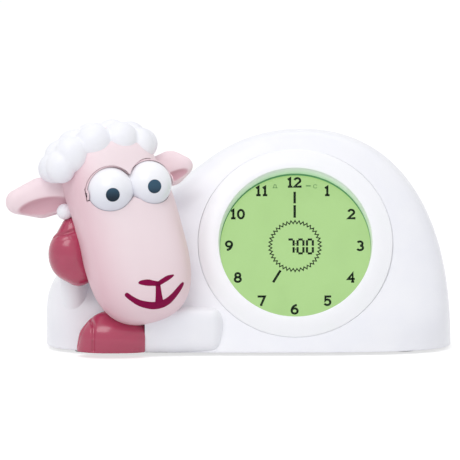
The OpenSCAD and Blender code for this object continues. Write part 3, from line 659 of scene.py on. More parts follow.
def settle(piece: bpy.types.Object) -> None:
    """Turns a piece's modifiers into its plain mesh."""
    bpy.context.view_layer.update()
    graph = bpy.context.evaluated_depsgraph_get()
    made = bpy.data.meshes.new_from_object(piece.evaluated_get(graph))
    piece.modifiers.clear()
    spent = piece.data
    piece.data = made
    if spent.users == 0:
        bpy.data.meshes.remove(spent)


def skin(rings: Sequence[np.ndarray], low: bool = True, high: bool = True) -> Shape:
    """A skin over rings that have the same number of points.

    Args:
        rings: The rings in order.
        low: Whether the first ring is closed.
        high: Whether the last ring is closed.

    Returns:
        The skin.
    """
    n, m = len(rings[0]), len(rings)
    points = [np.asarray(r, float) for r in rings]
    faces: list[tuple[int, ...]] = []
    for k in range(m - 1):
        for i in range(n):
            j = (i + 1) % n
            faces.append((k * n + i, k * n + j, (k + 1) * n + j, (k + 1) * n + i))
    for closed, start in ((low, 0), (high, (m - 1) * n)):
        if closed:
            ring = np.vstack(points)[start : start + n]
            points.append(ring.mean(axis=0, keepdims=True))
            tip = sum(len(p) for p in points) - 1
            faces += [(start + i, start + (i + 1) % n, tip) for i in range(n)]
    return Shape(np.vstack(points), faces)


def circle(radius: float, z: float, steps: int) -> np.ndarray:
    """A ring of points about the z axis."""
    turns = np.linspace(0, 2 * math.pi, steps, endpoint=False)
    return np.column_stack([radius * np.cos(turns), radius * np.sin(turns), np.full(steps, z)])


def squircle(power: float, steps: int) -> tuple[np.ndarray, np.ndarray, np.ndarray]:
    """The way round a ring as cosine and sine, and how far a superellipse reaches there.

    Args:
        power: The superellipse's power; 2 is a circle and more is squarer.
        steps: Points round it.

    Returns:
        The cosines, the sines and the reaches.
    """
    turns = np.linspace(0, 2 * math.pi, steps, endpoint=False)
    c, s = np.cos(turns), np.sin(turns)
    return c, s, (np.abs(c) ** power + np.abs(s) ** power) ** (-1 / power)


def turned(outline: Sequence[Flat], steps: int = 192, closed: bool = True) -> Shape:
    """A turned solid about the z axis.

    Args:
        outline: Radius and height of its outline's points.
        steps: Steps round the axis.
        closed: Whether the outline closes on itself; otherwise it starts and ends on the axis.

    Returns:
        The solid.
    """
    rings = [circle(r, z, steps) for r, z in outline]
    if closed:
        return skin(rings + [rings[0]], False, False)
    return skin(rings)


def rod(radius: float, low: float, high: float, steps: int = 96) -> Shape:
    """A plain round tool about the z axis from low to high."""
    return turned([(radius, low), (radius, high)], steps, closed=False)


def ball(centre: Point, radii: Point | float, steps: int = 48) -> Shape:
    """A sphere or an ellipsoid.

    Args:
        centre: Its centre.
        radii: Its radius, or three of them.
        steps: Steps round it.

    Returns:
        The solid.
    """
    size = (radii,) * 3 if isinstance(radii, (int, float)) else radii
    angles = np.linspace(-math.pi / 2, math.pi / 2, steps // 2 + 1)[1:-1]
    shape = skin([circle(math.cos(a), math.sin(a), steps) for a in angles])
    tips = shape.points[-2:]
    tips[0], tips[1] = (0, 0, -1), (0, 0, 1)
    shape.points[-2:] = tips
    shape.points = shape.points * np.array(size) + np.array(centre)
    return shape


def limb(first: Point, first_r: float, last: Point, last_r: float, steps: int = 48) -> Shape:
    """A rounded limb: the hull of two spheres.

    Args:
        first: Centre of the first sphere.
        first_r: Its radius.
        last: Centre of the last sphere.
        last_r: Its radius.
        steps: Steps round it.

    Returns:
        The solid.
    """
    a, b = Vector(first), Vector(last)
    axis = b - a
    length = axis.length
    lean = math.asin(max(-1.0, min(1.0, (first_r - last_r) / length)))
    rings = []
    for angle in np.linspace(-math.pi / 2 + 0.06, lean, steps // 3):
        rings.append((first_r * math.cos(angle), first_r * math.sin(angle)))
    for share in np.linspace(0, 1, 8)[1:-1]:
        r = (first_r + (last_r - first_r) * share) * math.cos(lean)
        low, high = first_r * math.sin(lean), length + last_r * math.sin(lean)
        rings.append((r, low * (1 - share) + high * share))
    for angle in np.linspace(lean, math.pi / 2 - 0.06, steps // 3):
        rings.append((last_r * math.cos(angle), length + last_r * math.sin(angle)))
    turn = axis.to_track_quat("Z", "Y").to_matrix().to_4x4()
    return skin([circle(r, z, steps) for r, z in rings]).on(Matrix.Translation(a) @ turn)


def slab(
    width: float, height: float, low: float, high: float, radius: float, bevel: float = 0.0, steps: int = 10
) -> Shape:
    """A rounded plate about the z axis.

    Args:
        width: Its width.
        height: Its height.
        low: Its underside.
        high: Its top.
        radius: Radius of its corners.
        bevel: Rounding of its edges.
        steps: Steps in a corner.

    Returns:
        The solid.
    """

    def outline(inset: float) -> np.ndarray:
        """The plate's outline drawn in."""
        points = []
        r = max(radius - inset, 0.02)
        for k, (sx, sy) in enumerate(((1, 1), (-1, 1), (-1, -1), (1, -1))):
            x, y = sx * (width / 2 - radius), sy * (height / 2 - radius)
            for a in (math.pi / 2 * (k + i / steps) for i in range(steps + 1)):
                points.append((x + r * math.cos(a), y + r * math.sin(a), 0.0))
        return np.array(points)

    levels = [(0.0, low), (0.0, high)]
    if bevel:
        arc = [(bevel * (1 - math.sin(t)), bevel * (1 - math.cos(t))) for t in np.linspace(0, math.pi / 2, 4)]
        levels = [(i, low + h) for i, h in arc] + [(i, high - h) for i, h in reversed(arc)]
    return skin([outline(i) + np.array((0, 0, z)) for i, z in levels])


def ribbon(line: Sequence[Flat], width: float, low: float, high: float, closed: bool = False) -> Shape:
    """A printed or raised line: a flat strip along points in the xy plane.

    Args:
        line: The line's points.
        width: The strip's width.
        low: Its underside.
        high: Its top.
        closed: Whether the line closes on itself.

    Returns:
        The solid.
    """
    points = np.asarray(line, float)
    n = len(points)
    sides = []
    for i in range(n):
        before = points[(i - 1) % n] if closed or i else points[i] * 2 - points[i + 1]
        after = points[(i + 1) % n] if closed or i < n - 1 else points[i] * 2 - points[i - 1]
        d1, d2 = points[i] - before, after - points[i]
        n1 = np.array((-d1[1], d1[0])) / (np.linalg.norm(d1) + 1e-12)
        n2 = np.array((-d2[1], d2[0])) / (np.linalg.norm(d2) + 1e-12)
        mid = n1 + n2
        mid /= np.linalg.norm(mid) + 1e-12
        sides.append(mid * width / 2 / max(0.45, float(mid @ n1)))
    side = np.array(sides)
    rings = [
        np.array([(*left, low), (*right, low), (*right, high), (*left, high)])
        for left, right in zip(points + side, points - side, strict=True)
    ]
    if closed:
        return skin(rings + [rings[0]], False, False)
    shape = skin(rings, False, False)
    last = 4 * (n - 1)
    shape.faces += [(3, 2, 1, 0), (last, last + 1, last + 2, last + 3)]
    return shape


def arc(centre: Flat, radii: Flat, start: float, end: float, steps: int = 14) -> list[Flat]:
    """Points on an ellipse from start to end degrees."""
    (x, y), (wide, high) = centre, radii
    angles = [math.radians(a) for a in np.linspace(start, end, steps)]
    return [(x + wide * math.cos(a), y + high * math.sin(a)) for a in angles]


@dataclass
class Maker:
    """Turns shapes into pieces that ride on the clock's bodies, and dresses the nodes that stay."""

    materials: dict[str, bpy.types.Material] = field(default_factory=dict)

    def finish(self, kind: object) -> bpy.types.Material:
        """The material of a finish, made once."""
        if kind.name not in self.materials:
            self.materials[kind.name] = kind.make()
        return self.materials[kind.name]

    def piece(
        self,
        name: str,
        shape: Shape | bpy.types.Object,
        finish: object,
        slot: str,
        replaces: Sequence[str] = (),
        body: str = "clock",
        sharp: float = 38.0,
        tint: Callable[[np.ndarray], np.ndarray] | None = None,
    ) -> bpy.types.Object:
        """Makes one piece.

        Args:
            name: The piece's name.
            shape: Its shape, or its finished object.
            finish: Its finish.
            slot: Not used.
            replaces: The nodes that it stands for.
            body: The body that it rides on.
            sharp: The angle in degrees from which an edge stays sharp.
            tint: Gives each point, in millimetres, its share of the finish's deeper tone, which is painted
                light on the bezel and painted shade in the ears' hollows.

        Returns:
            The piece.
        """
        made = shape.tool(name) if isinstance(shape, Shape) else shape
        seal(made.data)
        if tint is not None:
            points = np.array([v.co for v in made.data.vertices]) / MM
            shares = made.data.attributes.new("tint", "FLOAT", "POINT")
            shares.data.foreach_set("value", tint(points).astype(float))
        made.data.polygons.foreach_set("use_smooth", [True] * len(made.data.polygons))
        made.data.set_sharp_from_angle(angle=math.radians(sharp))
        if not made.data.materials:
            made.data.materials.append(self.finish(finish))
        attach(made, body)
        if replaces:
            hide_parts(*replaces)
        log.info("made %s: %d faces on %s", name, len(made.data.polygons), body)
        return made

    def grown(
        self,
        name: str,
        pattern: "Pattern",
        frame: Matrix,
        finish: object,
        slot: str,
        weld: float = 0.0,
        **options: object,
    ) -> bpy.types.Object:
        """Makes one piece from copies of one shape.

        Args:
            name: The piece's name.
            pattern: The copies and their layout.
            frame: The frame in millimetres in which they lie.
            finish: Their finish.
            slot: The slot that the finish comes from.
            weld: The distance in metres under which points are joined.
            **options: What piece() takes besides.

        Returns:
            The piece.
        """
        return self.piece(name, pattern.grow(name, self.finish(finish), frame, weld), finish, slot, **options)

    def dress(self, finish: object, *nodes: str) -> None:
        """Gives the named nodes, which stay as they are, a finish."""
        material = self.finish(finish)
        for name in nodes:
            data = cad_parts[name].data
            if not data.materials:
                data.materials.append(material)
            for index in range(len(data.materials)):
                data.materials[index] = material
            log.info("dressed %s in %s", name, material.name)


# ---- What repeats ----


class Layout(Enum):
    """How copies are laid out."""

    RING = "around the z axis"
    ROW = "in a row"
    GRID = "on the corners of a grid"
    DISCS = "on rings about a middle one"
    PLACES = "at given places, each with its size"


class Growth(Sheet):
    """A Geometry Nodes tree whose named inputs are set before it is first evaluated."""

    def __init__(self, name: str) -> None:
        """Starts an empty tree."""
        self.tree = bpy.data.node_groups.new(name, "GeometryNodeTree")
        for way in ("INPUT", "OUTPUT"):
            self.tree.interface.new_socket("Geometry", in_out=way, socket_type="NodeSocketGeometry")
        self.source = self.tree.nodes.new("NodeGroupInput")
        self.values: dict[str, object] = {}

    def ask(self, name: str, kind: str, value: object) -> Link:
        """Adds a named input.

        Args:
            name: Its name.
            kind: Its kind, such as Float, Int, Vector or Object.
            value: The value that the tree is grown with.

        Returns:
            The input.
        """
        made = self.tree.interface.new_socket(name, in_out="INPUT", socket_type=f"NodeSocket{kind}")
        self.values[made.identifier] = value
        return Link(self, self.source.outputs[name])

    def vector(self, x: Link | float, y: Link | float, z: Link | float) -> Link:
        """Three values as a vector."""
        return self.node("ShaderNodeCombineXYZ", inputs={0: x, 1: y, 2: z})

    def copies(self, points: Link, shape: Link, turn: Link | None = None, scale: Link | None = None) -> Link:
        """Sets a shape on points.

        Args:
            points: The points.
            shape: The shape.
            turn: Each copy's rotation.
            scale: Each copy's size.

        Returns:
            The copies.
        """
        inputs = {"Points": points, "Instance": shape}
        if turn is not None:
            inputs["Rotation"] = turn
        if scale is not None:
            inputs["Scale"] = scale
        return self.node("GeometryNodeInstanceOnPoints", inputs=inputs)

    def taken(self, name: str, source: bpy.types.Object) -> Link:
        """The geometry of another object, which is a named input."""
        inputs = {"Object": self.ask(name, "Object", source)}
        return self.node("GeometryNodeObjectInfo", inputs=inputs, output="Geometry")

    def line(self, count: Link | int, start: Link | Point = ORIGIN, step: Link | Point = ORIGIN) -> Link:
        """A row of points that begins at start, each one step after the one before."""
        inputs = {"Count": count, "Start Location": start, "Offset": step}
        return self.node("GeometryNodeMeshLine", {"mode": "OFFSET"}, inputs)

    def grow(
        self, name: str, geometry: Link, material: bpy.types.Material, frame: Matrix, weld: float = 0.0
    ) -> bpy.types.Object:
        """Ends the tree, grows it and turns it into a plain mesh.

        Args:
            name: The piece's name.
            geometry: What the tree makes, in metres.
            material: Its material.
            frame: The frame in millimetres in which it is made.
            weld: The distance in metres under which points are joined.

        Returns:
            The piece, at the origin.
        """
        whole = self.node("GeometryNodeRealizeInstances", inputs={0: geometry})
        if weld:
            joined = {"Geometry": whole, "Distance": self.ask("Weld", "Float", weld)}
            whole = self.node("GeometryNodeMergeByDistance", inputs=joined)
        clad = self.node("GeometryNodeSetMaterial", inputs={"Geometry": whole, "Material": material})
        end = self.tree.nodes.new("NodeGroupOutput")
        self.tree.links.new(clad.socket, end.inputs[0])
        piece = shown(name, bpy.data.meshes.new(name))
        grown = piece.modifiers.new("growth", "NODES")
        grown.node_group = self.tree
        for key, value in self.values.items():
            grown[key] = value
        settle(piece)
        piece.data.transform(metres(frame))
        return piece


@dataclass
class Pattern:
    """Copies of one shape in a regular layout."""

    layout: Layout
    shape: Shape
    count: int = 1
    size: float = 0.0
    other: float = 0.0
    places: Sequence[Point] = ()
    scales: Sequence[Point] = ()

    def carrier(self, name: str) -> bpy.types.Object:
        """A mesh whose points are the places and carry the sizes."""
        data = bpy.data.meshes.new(name)
        data.from_pydata([tuple(c * MM for c in place) for place in self.places], [], [])
        scales = data.attributes.new("scale", "FLOAT_VECTOR", "POINT")
        values = self.scales or [(1.0, 1.0, 1.0)] * len(self.places)
        scales.data.foreach_set("vector", np.ravel(values))
        return shown(name, data)

    def laid(self, growth: Growth, one: Link, carrier: bpy.types.Object) -> Link:
        """Lays the copies out on a tree.

        Args:
            growth: The tree.
            one: The shape that is copied.
            carrier: The mesh of the given places.

        Returns:
            The copies.
        """
        count = growth.ask("Count", "Int", self.count)
        size = growth.ask("Size", "Float", self.size * MM)
        other = growth.ask("Other size", "Float", self.other * MM)
        if self.layout is Layout.RING:
            turn = growth.node("GeometryNodeInputIndex") * (2 * math.pi) / count
            return growth.copies(growth.line(count), one, growth.vector(0.0, 0.0, turn))
        if self.layout is Layout.ROW:
            start = growth.vector(size * (count - 1) * -0.5, 0.0, 0.0)
            return growth.copies(growth.line(count, start=start, step=growth.vector(size, 0.0, 0.0)), one)
        if self.layout is Layout.GRID:
            corners = {"Size X": size, "Size Y": other, "Vertices X": 2, "Vertices Y": 2}
            return growth.copies(growth.node("GeometryNodeMeshGrid", inputs=corners), one)
        if self.layout is Layout.PLACES:
            spots = growth.taken("Places", carrier)
            kind = {"data_type": "FLOAT_VECTOR"}
            scale = growth.node("GeometryNodeInputNamedAttribute", kind, {"Name": "scale"}, "Attribute")
            return growth.copies(spots, one, scale=scale)
        middle = growth.node("GeometryNodeMeshLine", inputs={"Count": 1})
        joined = growth.node("GeometryNodeJoinGeometry", inputs={0: middle})
        for k in range(1, self.count):
            inputs = {"Vertices": 6 * k, "Radius": size * float(k)}
            ring = growth.node("GeometryNodeMeshCircle", inputs=inputs)
            growth.tree.links.new(ring.socket, joined.socket.node.inputs[0])
        return growth.copies(joined, one)

    def grow(
        self, name: str, material: bpy.types.Material, frame: Matrix, weld: float = 0.0
    ) -> bpy.types.Object:
        """Grows the pattern.

        Args:
            name: The piece's name.
            material: Its material.
            frame: The frame in millimetres in which it lies.
            weld: The distance in metres under which points are joined.

        Returns:
            The piece.
        """
        pattern = self.shape.tool(f"{name}_one")
        carrier = self.carrier(f"{name}_places")
        growth = Growth(f"{name}_growth")
        made = self.laid(growth, growth.taken("Shape", pattern), carrier)
        piece = growth.grow(name, made, material, frame, weld)
        drop(pattern)
        drop(carrier)
        return piece


# ---- Palette ----

SHELL = Moulded("shell_white", rgb(247, 247, 251), rgb(236, 237, 246), 0.36, coat=0.15)
LEG = Moulded("leg_white", rgb(247, 247, 251), rgb(236, 237, 246), 0.4)
PANEL = Moulded("panel_white", rgb(240, 240, 245), rgb(228, 229, 238), 0.46, grain=30e-6, grain_scale=1800.0)
# Its deep tone is painted light: the display's green glow reflected on the window's wall.
RING = Tinted("bezel_white", rgb(249, 249, 252), rgb(206, 250, 200), 0.3, 12e-6)
WOOL = Moulded("wool_white", rgb(247, 247, 251), rgb(228, 229, 242), 0.44, grain=20e-6, grain_scale=1500.0)
HOOF = Moulded("hoof_pink", rgb(176, 54, 88), rgb(152, 46, 76), 0.24, coat=0.5, specular=0.5)
RUBBER = Moulded("rubber", rgb(196, 196, 202), rgb(170, 170, 178), 0.66, 40e-6, 1400.0, specular=0.3)
KNOB = Moulded("knob_black", rgb(40, 40, 46), rgb(58, 58, 64), 0.48, grain=20e-6)
INNER = Moulded("inner_white", rgb(226, 226, 230), rgb(205, 206, 214), 0.52)
CHIP = Moulded("chip_black", rgb(34, 34, 38), rgb(60, 60, 64), 0.5, grain=20e-6, grain_scale=3600.0)
INLET = Moulded("inlet_black", rgb(28, 28, 32), rgb(50, 50, 56), 0.4)
CONE = Moulded("cone_black", rgb(44, 44, 46), rgb(72, 70, 68), 0.8, grain=60e-6, grain_scale=900.0)
ZEBRA = Moulded("zebra_grey", rgb(92, 94, 102), rgb(150, 150, 156), 0.66, grain=40e-6, grain_scale=700.0)
SHEET = Moulded("sheet_white", rgb(250, 250, 250), rgb(240, 242, 246), 0.2)
LED = Moulded("led_white", rgb(250, 248, 232), rgb(240, 226, 160), 0.3, coat=0.4)
STEEL = Metal("screw_steel", rgb(176, 178, 184), 0.28)
CAN = Metal("frame_steel", rgb(164, 166, 172), 0.36)
CONTACT = Metal("contact_steel", rgb(206, 200, 186), 0.24)
AXLE = Metal("axle_steel", rgb(190, 192, 198), 0.2, lines=(14.0, 1.0, 1.0))
MAGNET = Metal("magnet_grey", rgb(92, 94, 100), 0.5)
BUTTON = Moulded("button_pink", rgb(232, 180, 196), rgb(220, 160, 180), 0.4)
ALARM = Moulded("button_dark_pink", rgb(176, 62, 94), rgb(160, 54, 84), 0.34, coat=0.3)
LENS = Clear("lens_clear", rgb(120, 140, 120), 0.02, 0.08, 0.12)
GUIDE = Clear("guide_clear", rgb(236, 250, 240), 0.35, 0.12)
DISPLAY = Glowing("display_green", rgb(173, 213, 137), rgb(166, 207, 128), 0.93)
INK = Moulded("display_ink", rgb(14, 28, 14), rgb(22, 38, 20), 0.6, grain=4e-6, specular=0.08)
FAINT = Moulded("display_faint", rgb(104, 150, 84), rgb(96, 140, 76), 0.5, grain=4e-6)
# Painted shadow: a dark green for the ring of shade where the window's throat meets the lens.
PAINTED_WINDOW_SHADOW = Moulded("gasket_green", rgb(84, 150, 92), rgb(70, 134, 80), 0.6)
FACE = Tinted("face_pink", rgb(243, 225, 229), rgb(228, 190, 199))
# Its deep tone is the hollow's own darker pink with painted shade.
EAR = Tinted("ear_pink", rgb(243, 222, 227), rgb(188, 104, 128), 0.46)
# Painted shade: the eye white is greyer on its lower part, where less light falls.
EYE = Glossy("eye_white", rgb(226, 228, 238), rgb(248, 248, 252), 0.090, 0.112, 0.2)
PUPIL = Glossy("pupil_blue", rgb(12, 32, 48), rgb(52, 84, 106), 0.098, 0.107, 0.3, 0.25)
MOUTH = Moulded("mouth_magenta", rgb(136, 2, 68), rgb(124, 0, 60), 0.55, specular=0.12)
LID = Moulded("lid_pink", rgb(240, 214, 220), rgb(232, 202, 210), 0.4)


@dataclass
class Body:
    """The white dome in two shells, with the round seat of the clock face and the bay at the back."""

    dome_r: float = 92.0
    dome_x: float = 42.8
    dome_z: float = 36.2
    shoulder_r: float = 30.0
    shoulder_x: float = -80.4
    shoulder_z: float = 21.0
    depth: float = 100.0
    front_tilt: float = 22.0
    back_tilt: float = 9.6
    side_power: float = 2.3
    upper_power: float = 5.0
    rim_power: float = 3.3
    power_height: float = 26.0
    wall: float = 2.5
    rim: float = 2.0
    seam: float = 12.0
    shift: float = SHIFT
    face_at: Flat = (40.5, 68.8)
    panel_at: Flat = (35.0, 45.0)
    screws_at: Sequence[Flat] = ((116, 20), (112, 76), (-40, 76), (-96, 20))
    screw_depth: float = 6.0
    well_r: float = 2.7
    foot_edge: float = 0.8
    groove_wide: float = 0.35
    groove_deep: float = 0.3
    seat_r: float = 59.15
    seat_floor: float = -3.55
    seat_wall_r: float = 62.0
    bore_r: float = 50.0
    recess: Flat = (130.3, 66.3)
    recess_floor: float = -3.95
    window: Flat = (120.0, 56.0)
    bay: Flat = (136.0, 72.0)
    around: int = 288
    levels: int = 120

    @property
    def height(self) -> float:
        """Height of the dome over its rim."""
        return self.dome_z + self.dome_r

    @property
    def screw_seat(self) -> float:
        """How far back the shell screws' heads sit."""
        return self.shift + self.seam + self.screw_depth

    def front(self) -> Matrix:
        """The frame on the front, at the middle of the clock face."""
        rise, run = math.cos(math.radians(self.front_tilt)), math.sin(math.radians(self.front_tilt))
        x, up = self.face_at
        origin = (x, self.shift - self.depth / 2 + up * run, self.rim + up * rise)
        return frame_of(origin, (1, 0, 0), (0, run, rise), (0, -rise, run))

    def back(self) -> Matrix:
        """The frame on the back, at the middle of the rear panel, with x to the right as seen from behind."""
        rise, run = math.cos(math.radians(self.back_tilt)), math.sin(math.radians(self.back_tilt))
        x, up = self.panel_at
        origin = (x, self.shift + self.depth / 2 - up * run, self.rim + up * rise)
        return frame_of(origin, (-1, 0, 0), (0, -run, rise), (0, rise, run))

    def left(self, z: float, t: float) -> float:
        """The left edge of the outline at height z, drawn in by t."""
        dx, dz = self.dome_x - self.shoulder_x, self.dome_z - self.shoulder_z
        slope = math.asin((self.dome_r - self.shoulder_r) / math.hypot(dx, dz)) + math.atan2(dz, dx)
        top = self.dome_z + (self.dome_r - t) * math.cos(slope)
        low = self.shoulder_z + (self.shoulder_r - t) * math.cos(slope)
        if z > top:
            return self.dome_x - math.sqrt(max(0.0, (self.dome_r - t) ** 2 - (z - self.dome_z) ** 2))
        if z > low:
            return self.dome_x - (self.dome_r - t) * math.sin(slope) - (top - z) / math.tan(slope)
        if z > self.shoulder_z:
            return self.shoulder_x - math.sqrt((self.shoulder_r - t) ** 2 - (z - self.shoulder_z) ** 2)
        return self.shoulder_x - self.shoulder_r + t

    def right(self, z: float, t: float) -> float:
        """The right edge of the outline at height z, drawn in by t."""
        share = max(0.0, 1 - (max(z, 0) / (self.height - t)) ** self.side_power)
        return self.dome_x + (self.dome_r - t) * share ** (1 / self.side_power)

    def ring(self, z: float, t: float, steps: int, inset: float = 0.0) -> np.ndarray:
        """One level ring of the dome.

        Args:
            z: Height over the rim.
            t: How far it is drawn in.
            steps: Points round it.
            inset: A further inset that leaves the height as it is.

        Returns:
            The ring's points.
        """
        u = min(1.0, max(0.0, z / self.power_height))
        power = self.rim_power + (self.upper_power - self.rim_power) * u * u * (3 - 2 * u)
        lean, back_lean = math.radians(self.front_tilt), math.radians(self.back_tilt)
        left, right = self.left(z, t) + inset, self.right(z, t) - inset
        front = -self.depth / 2 + math.tan(lean) * z + t / math.cos(lean) + inset
        back = self.depth / 2 - math.tan(back_lean) * z - t / math.cos(back_lean) - inset
        crown = max(0.0, 1 - (max(z, 0) / (self.height - t)) ** 8) ** 0.125
        c, s, reach = squircle(power, steps)
        return np.column_stack(
            [
                (left + right) / 2 + (right - left) / 2 * c * reach,
                (front + back) / 2 + (back - front) / 2 * crown * s * reach + self.shift,
                np.full(steps, z + self.rim),
            ]
        )

    def block(self, t: float, low: float, around: int, levels: int, edge: float = 0.0) -> Shape:
        """The dome's block.

        Args:
            t: How far it is drawn in.
            low: Its lowest height over the rim.
            around: Points round it.
            levels: Levels up to its top.
            edge: Rounding of its lower edge.

        Returns:
            The block.
        """
        top = self.height - t
        rings = []
        if edge:
            for angle in np.linspace(0, math.pi / 2, 5):
                up, inset = edge * (1 - math.sin(math.pi / 2 - angle)), edge * (1 - math.sin(angle))
                rings.append(self.ring(low + up, t, around, inset))
        else:
            rings.append(self.ring(low, t, around))
        start = low + edge
        for k in range(1, levels + 1):
            share = math.sin(math.pi / 2 * k / (levels + 0.25))
            rings.append(self.ring(start + (top - start) * share, t, around))
        return skin(rings)

    def seamed(self, block: Shape, side: int) -> Shape:
        """One half of the outer block, with a fine groove where the shells meet.

        Args:
            block: The whole block.
            side: -1 for the front half and 1 for the rear.

        Returns:
            The half, closed.
        """
        plane = self.seam + self.shift
        scored = block.scored((0, plane + side * self.groove_wide, 0), (0, 1, 0))
        half = scored.half((0, plane, 0), (0, -side, 0))
        middle = np.array((self.dome_x - 30, plane, 40.0))
        rim = np.abs(half.points[:, 1] - plane) < 1e-4
        inward = middle - half.points[rim]
        half.points[rim] += inward / np.linalg.norm(inward, axis=1, keepdims=True) * self.groove_deep
        return half

    def shells(self) -> tuple[Shape, Shape]:
        """The front and the rear shell, hollow and with their openings."""
        outer = self.block(0.0, 0.0, self.around, self.levels, self.foot_edge)
        inner = self.block(self.wall, -1.0, 96, 48)
        plane = self.seam + self.shift
        seat = rod(self.seat_wall_r, self.seat_floor - 3.0, 3.4).on(self.front())
        hollow = inner.half((0, plane + 2, 0), (0, 1, 0)).less(seat)
        front = self.seamed(outer, -1).less(hollow)
        floor = self.seat_floor
        bore = [(self.bore_r, -14.0), (self.bore_r, floor), (self.seat_r, floor), (self.seat_r, 6.0)]
        front = front.less(turned(bore, closed=False).on(self.front()))
        bay = slab(*self.bay, self.recess_floor - 3.0, 0.0, 5.0).on(self.back())
        hollow = inner.half((0, plane - 2, 0), (0, -1, 0)).less(bay)
        rear = self.seamed(outer, 1).less(hollow)
        recess = slab(*self.recess, self.recess_floor, 8.0, 4.15, steps=16).on(self.back())
        window = slab(*self.window, -12.0, 0.0, 3.0).on(self.back())
        return front, rear.less(recess).less(window)

    def screw_wells(self) -> Shape:
        """The tools that sink the shell screws' wells into the rear shell."""
        wells = []
        for x, z in self.screws_at:
            place = frame_of((x, self.screw_seat, z + self.rim), (1, 0, 0), (0, 0, -1), (0, 1, 0))
            wells.append(rod(self.well_r, 0.0, 60.0, 32).on(place))
        return together(wells)

    def build(self, maker: Maker) -> None:
        """Makes the two shells and dresses the base."""
        front, rear = self.shells()
        rear = rear.less(self.screw_wells())
        maker.piece("dome_front", front, SHELL, "shell_white", ["front_shell"], sharp=30.0)
        maker.piece("dome_rear", rear, SHELL, "shell_white", ["rear_shell"], sharp=30.0)
        maker.dress(PANEL, "base_plate")
        maker.dress(STEEL, "display_screws", "head_screws", "speaker_screws")


@dataclass
class Studio:
    """The camera, the lamps and the pale floor."""

    aim: Point = (0.9, 0.0, 72.3)
    view_width: float = 278.8
    distance: float = 9000.0
    elevation: float = VIEW_RISE
    fill: float = 0.66
    key_power: float = 8.8
    floor_glow: float = 0.68
    floor_half: float = 2.6
    white: Colour = (1.0, 1.0, 1.0, 1.0)
    sky: Colour = (0.97, 0.98, 1.0, 1.0)
    floor_plain: Colour = (0.87, 0.87, 0.88, 1.0)
    floor_dull: Colour = (0.5, 0.5, 0.5, 1.0)

    def camera(self) -> None:
        """Makes the camera."""
        data = bpy.data.cameras.new("camera")
        data.sensor_width = 36.0
        data.lens = 36.0 * self.distance / self.view_width
        data.clip_start, data.clip_end = 0.1, 100.0
        camera = shown("camera", data)
        rise = math.radians(self.elevation)
        back = Vector((0, -math.cos(rise), math.sin(rise)))
        camera.location = (Vector(self.aim) + back * self.distance) * MM
        camera.rotation_euler = (-back).to_track_quat("-Z", "Y").to_euler()
        bpy.context.scene.camera = camera

    def lamp(self, name: str, place: Point, size: float, power: float) -> None:
        """Makes one soft white lamp that looks at the clock.

        Args:
            name: The lamp's name.
            place: Its place in metres.
            size: The side of its square in metres.
            power: Its power in watts.
        """
        data = bpy.data.lights.new(name, "AREA")
        data.shape, data.size, data.energy = "SQUARE", size, power
        lamp = shown(name, data)
        lamp.location = place
        lamp.rotation_euler = (Vector((0, 0, 0.07)) - Vector(place)).to_track_quat("-Z", "Y").to_euler()

    def seen(self, sheet: Sheet) -> Link:
        """1 where the camera looks, or looks by way of gloss or glass."""
        rays = sheet.node("ShaderNodeLightPath").socket.node.outputs
        kinds = ("Camera", "Glossy", "Transmission")
        camera, gloss, glass = (Link(sheet, rays[f"Is {kind} Ray"]) for kind in kinds)
        return (camera + gloss + glass).least(1.0)

    def world(self) -> None:
        """Makes the even light from all sides, white to the camera."""
        sheet = Sheet("studio", "worlds")
        lit = sheet.node("ShaderNodeBackground", inputs={"Color": self.sky, "Strength": self.fill})
        white = sheet.node("ShaderNodeBackground", inputs={"Color": self.white, "Strength": 1.0})
        both = sheet.node("ShaderNodeMixShader", inputs={0: self.seen(sheet), 1: lit, 2: white})
        bpy.context.scene.world = sheet.close(both, "World")

    def floor(self) -> None:
        """Makes the pale floor, which keeps the clock's shadow."""
        sheet = Sheet("floor_pale")
        plain = sheet.node("ShaderNodeBsdfDiffuse", inputs={"Color": self.floor_plain})
        dull = sheet.node("ShaderNodeBsdfDiffuse", inputs={"Color": self.floor_dull})
        glow = sheet.node("ShaderNodeEmission", inputs={"Color": self.white, "Strength": self.floor_glow})
        lit = sheet.node("ShaderNodeAddShader", inputs={0: dull, 1: glow})
        both = sheet.node("ShaderNodeMixShader", inputs={0: self.seen(sheet), 1: plain, 2: lit})
        data = bpy.data.meshes.new("floor")
        size = self.floor_half
        corners = [(-size, -size, 0), (size, -size, 0), (size, size, 0), (-size, size, 0)]
        data.from_pydata(corners, [], [(0, 1, 2, 3)])
        data.materials.append(sheet.close(both))
        shown("floor", data)

    def build(self) -> None:
        """Sets the studio up."""
        bpy.context.scene.view_settings.view_transform = "Standard"
        self.camera()
        self.world()
        self.floor()
        self.lamp("key", (-0.5, -1.0, 1.3), 1.0, self.key_power)
        self.lamp("top", (0.2, 0.2, 1.6), 1.4, self.key_power * 0.45)


# ---- Clock face ----


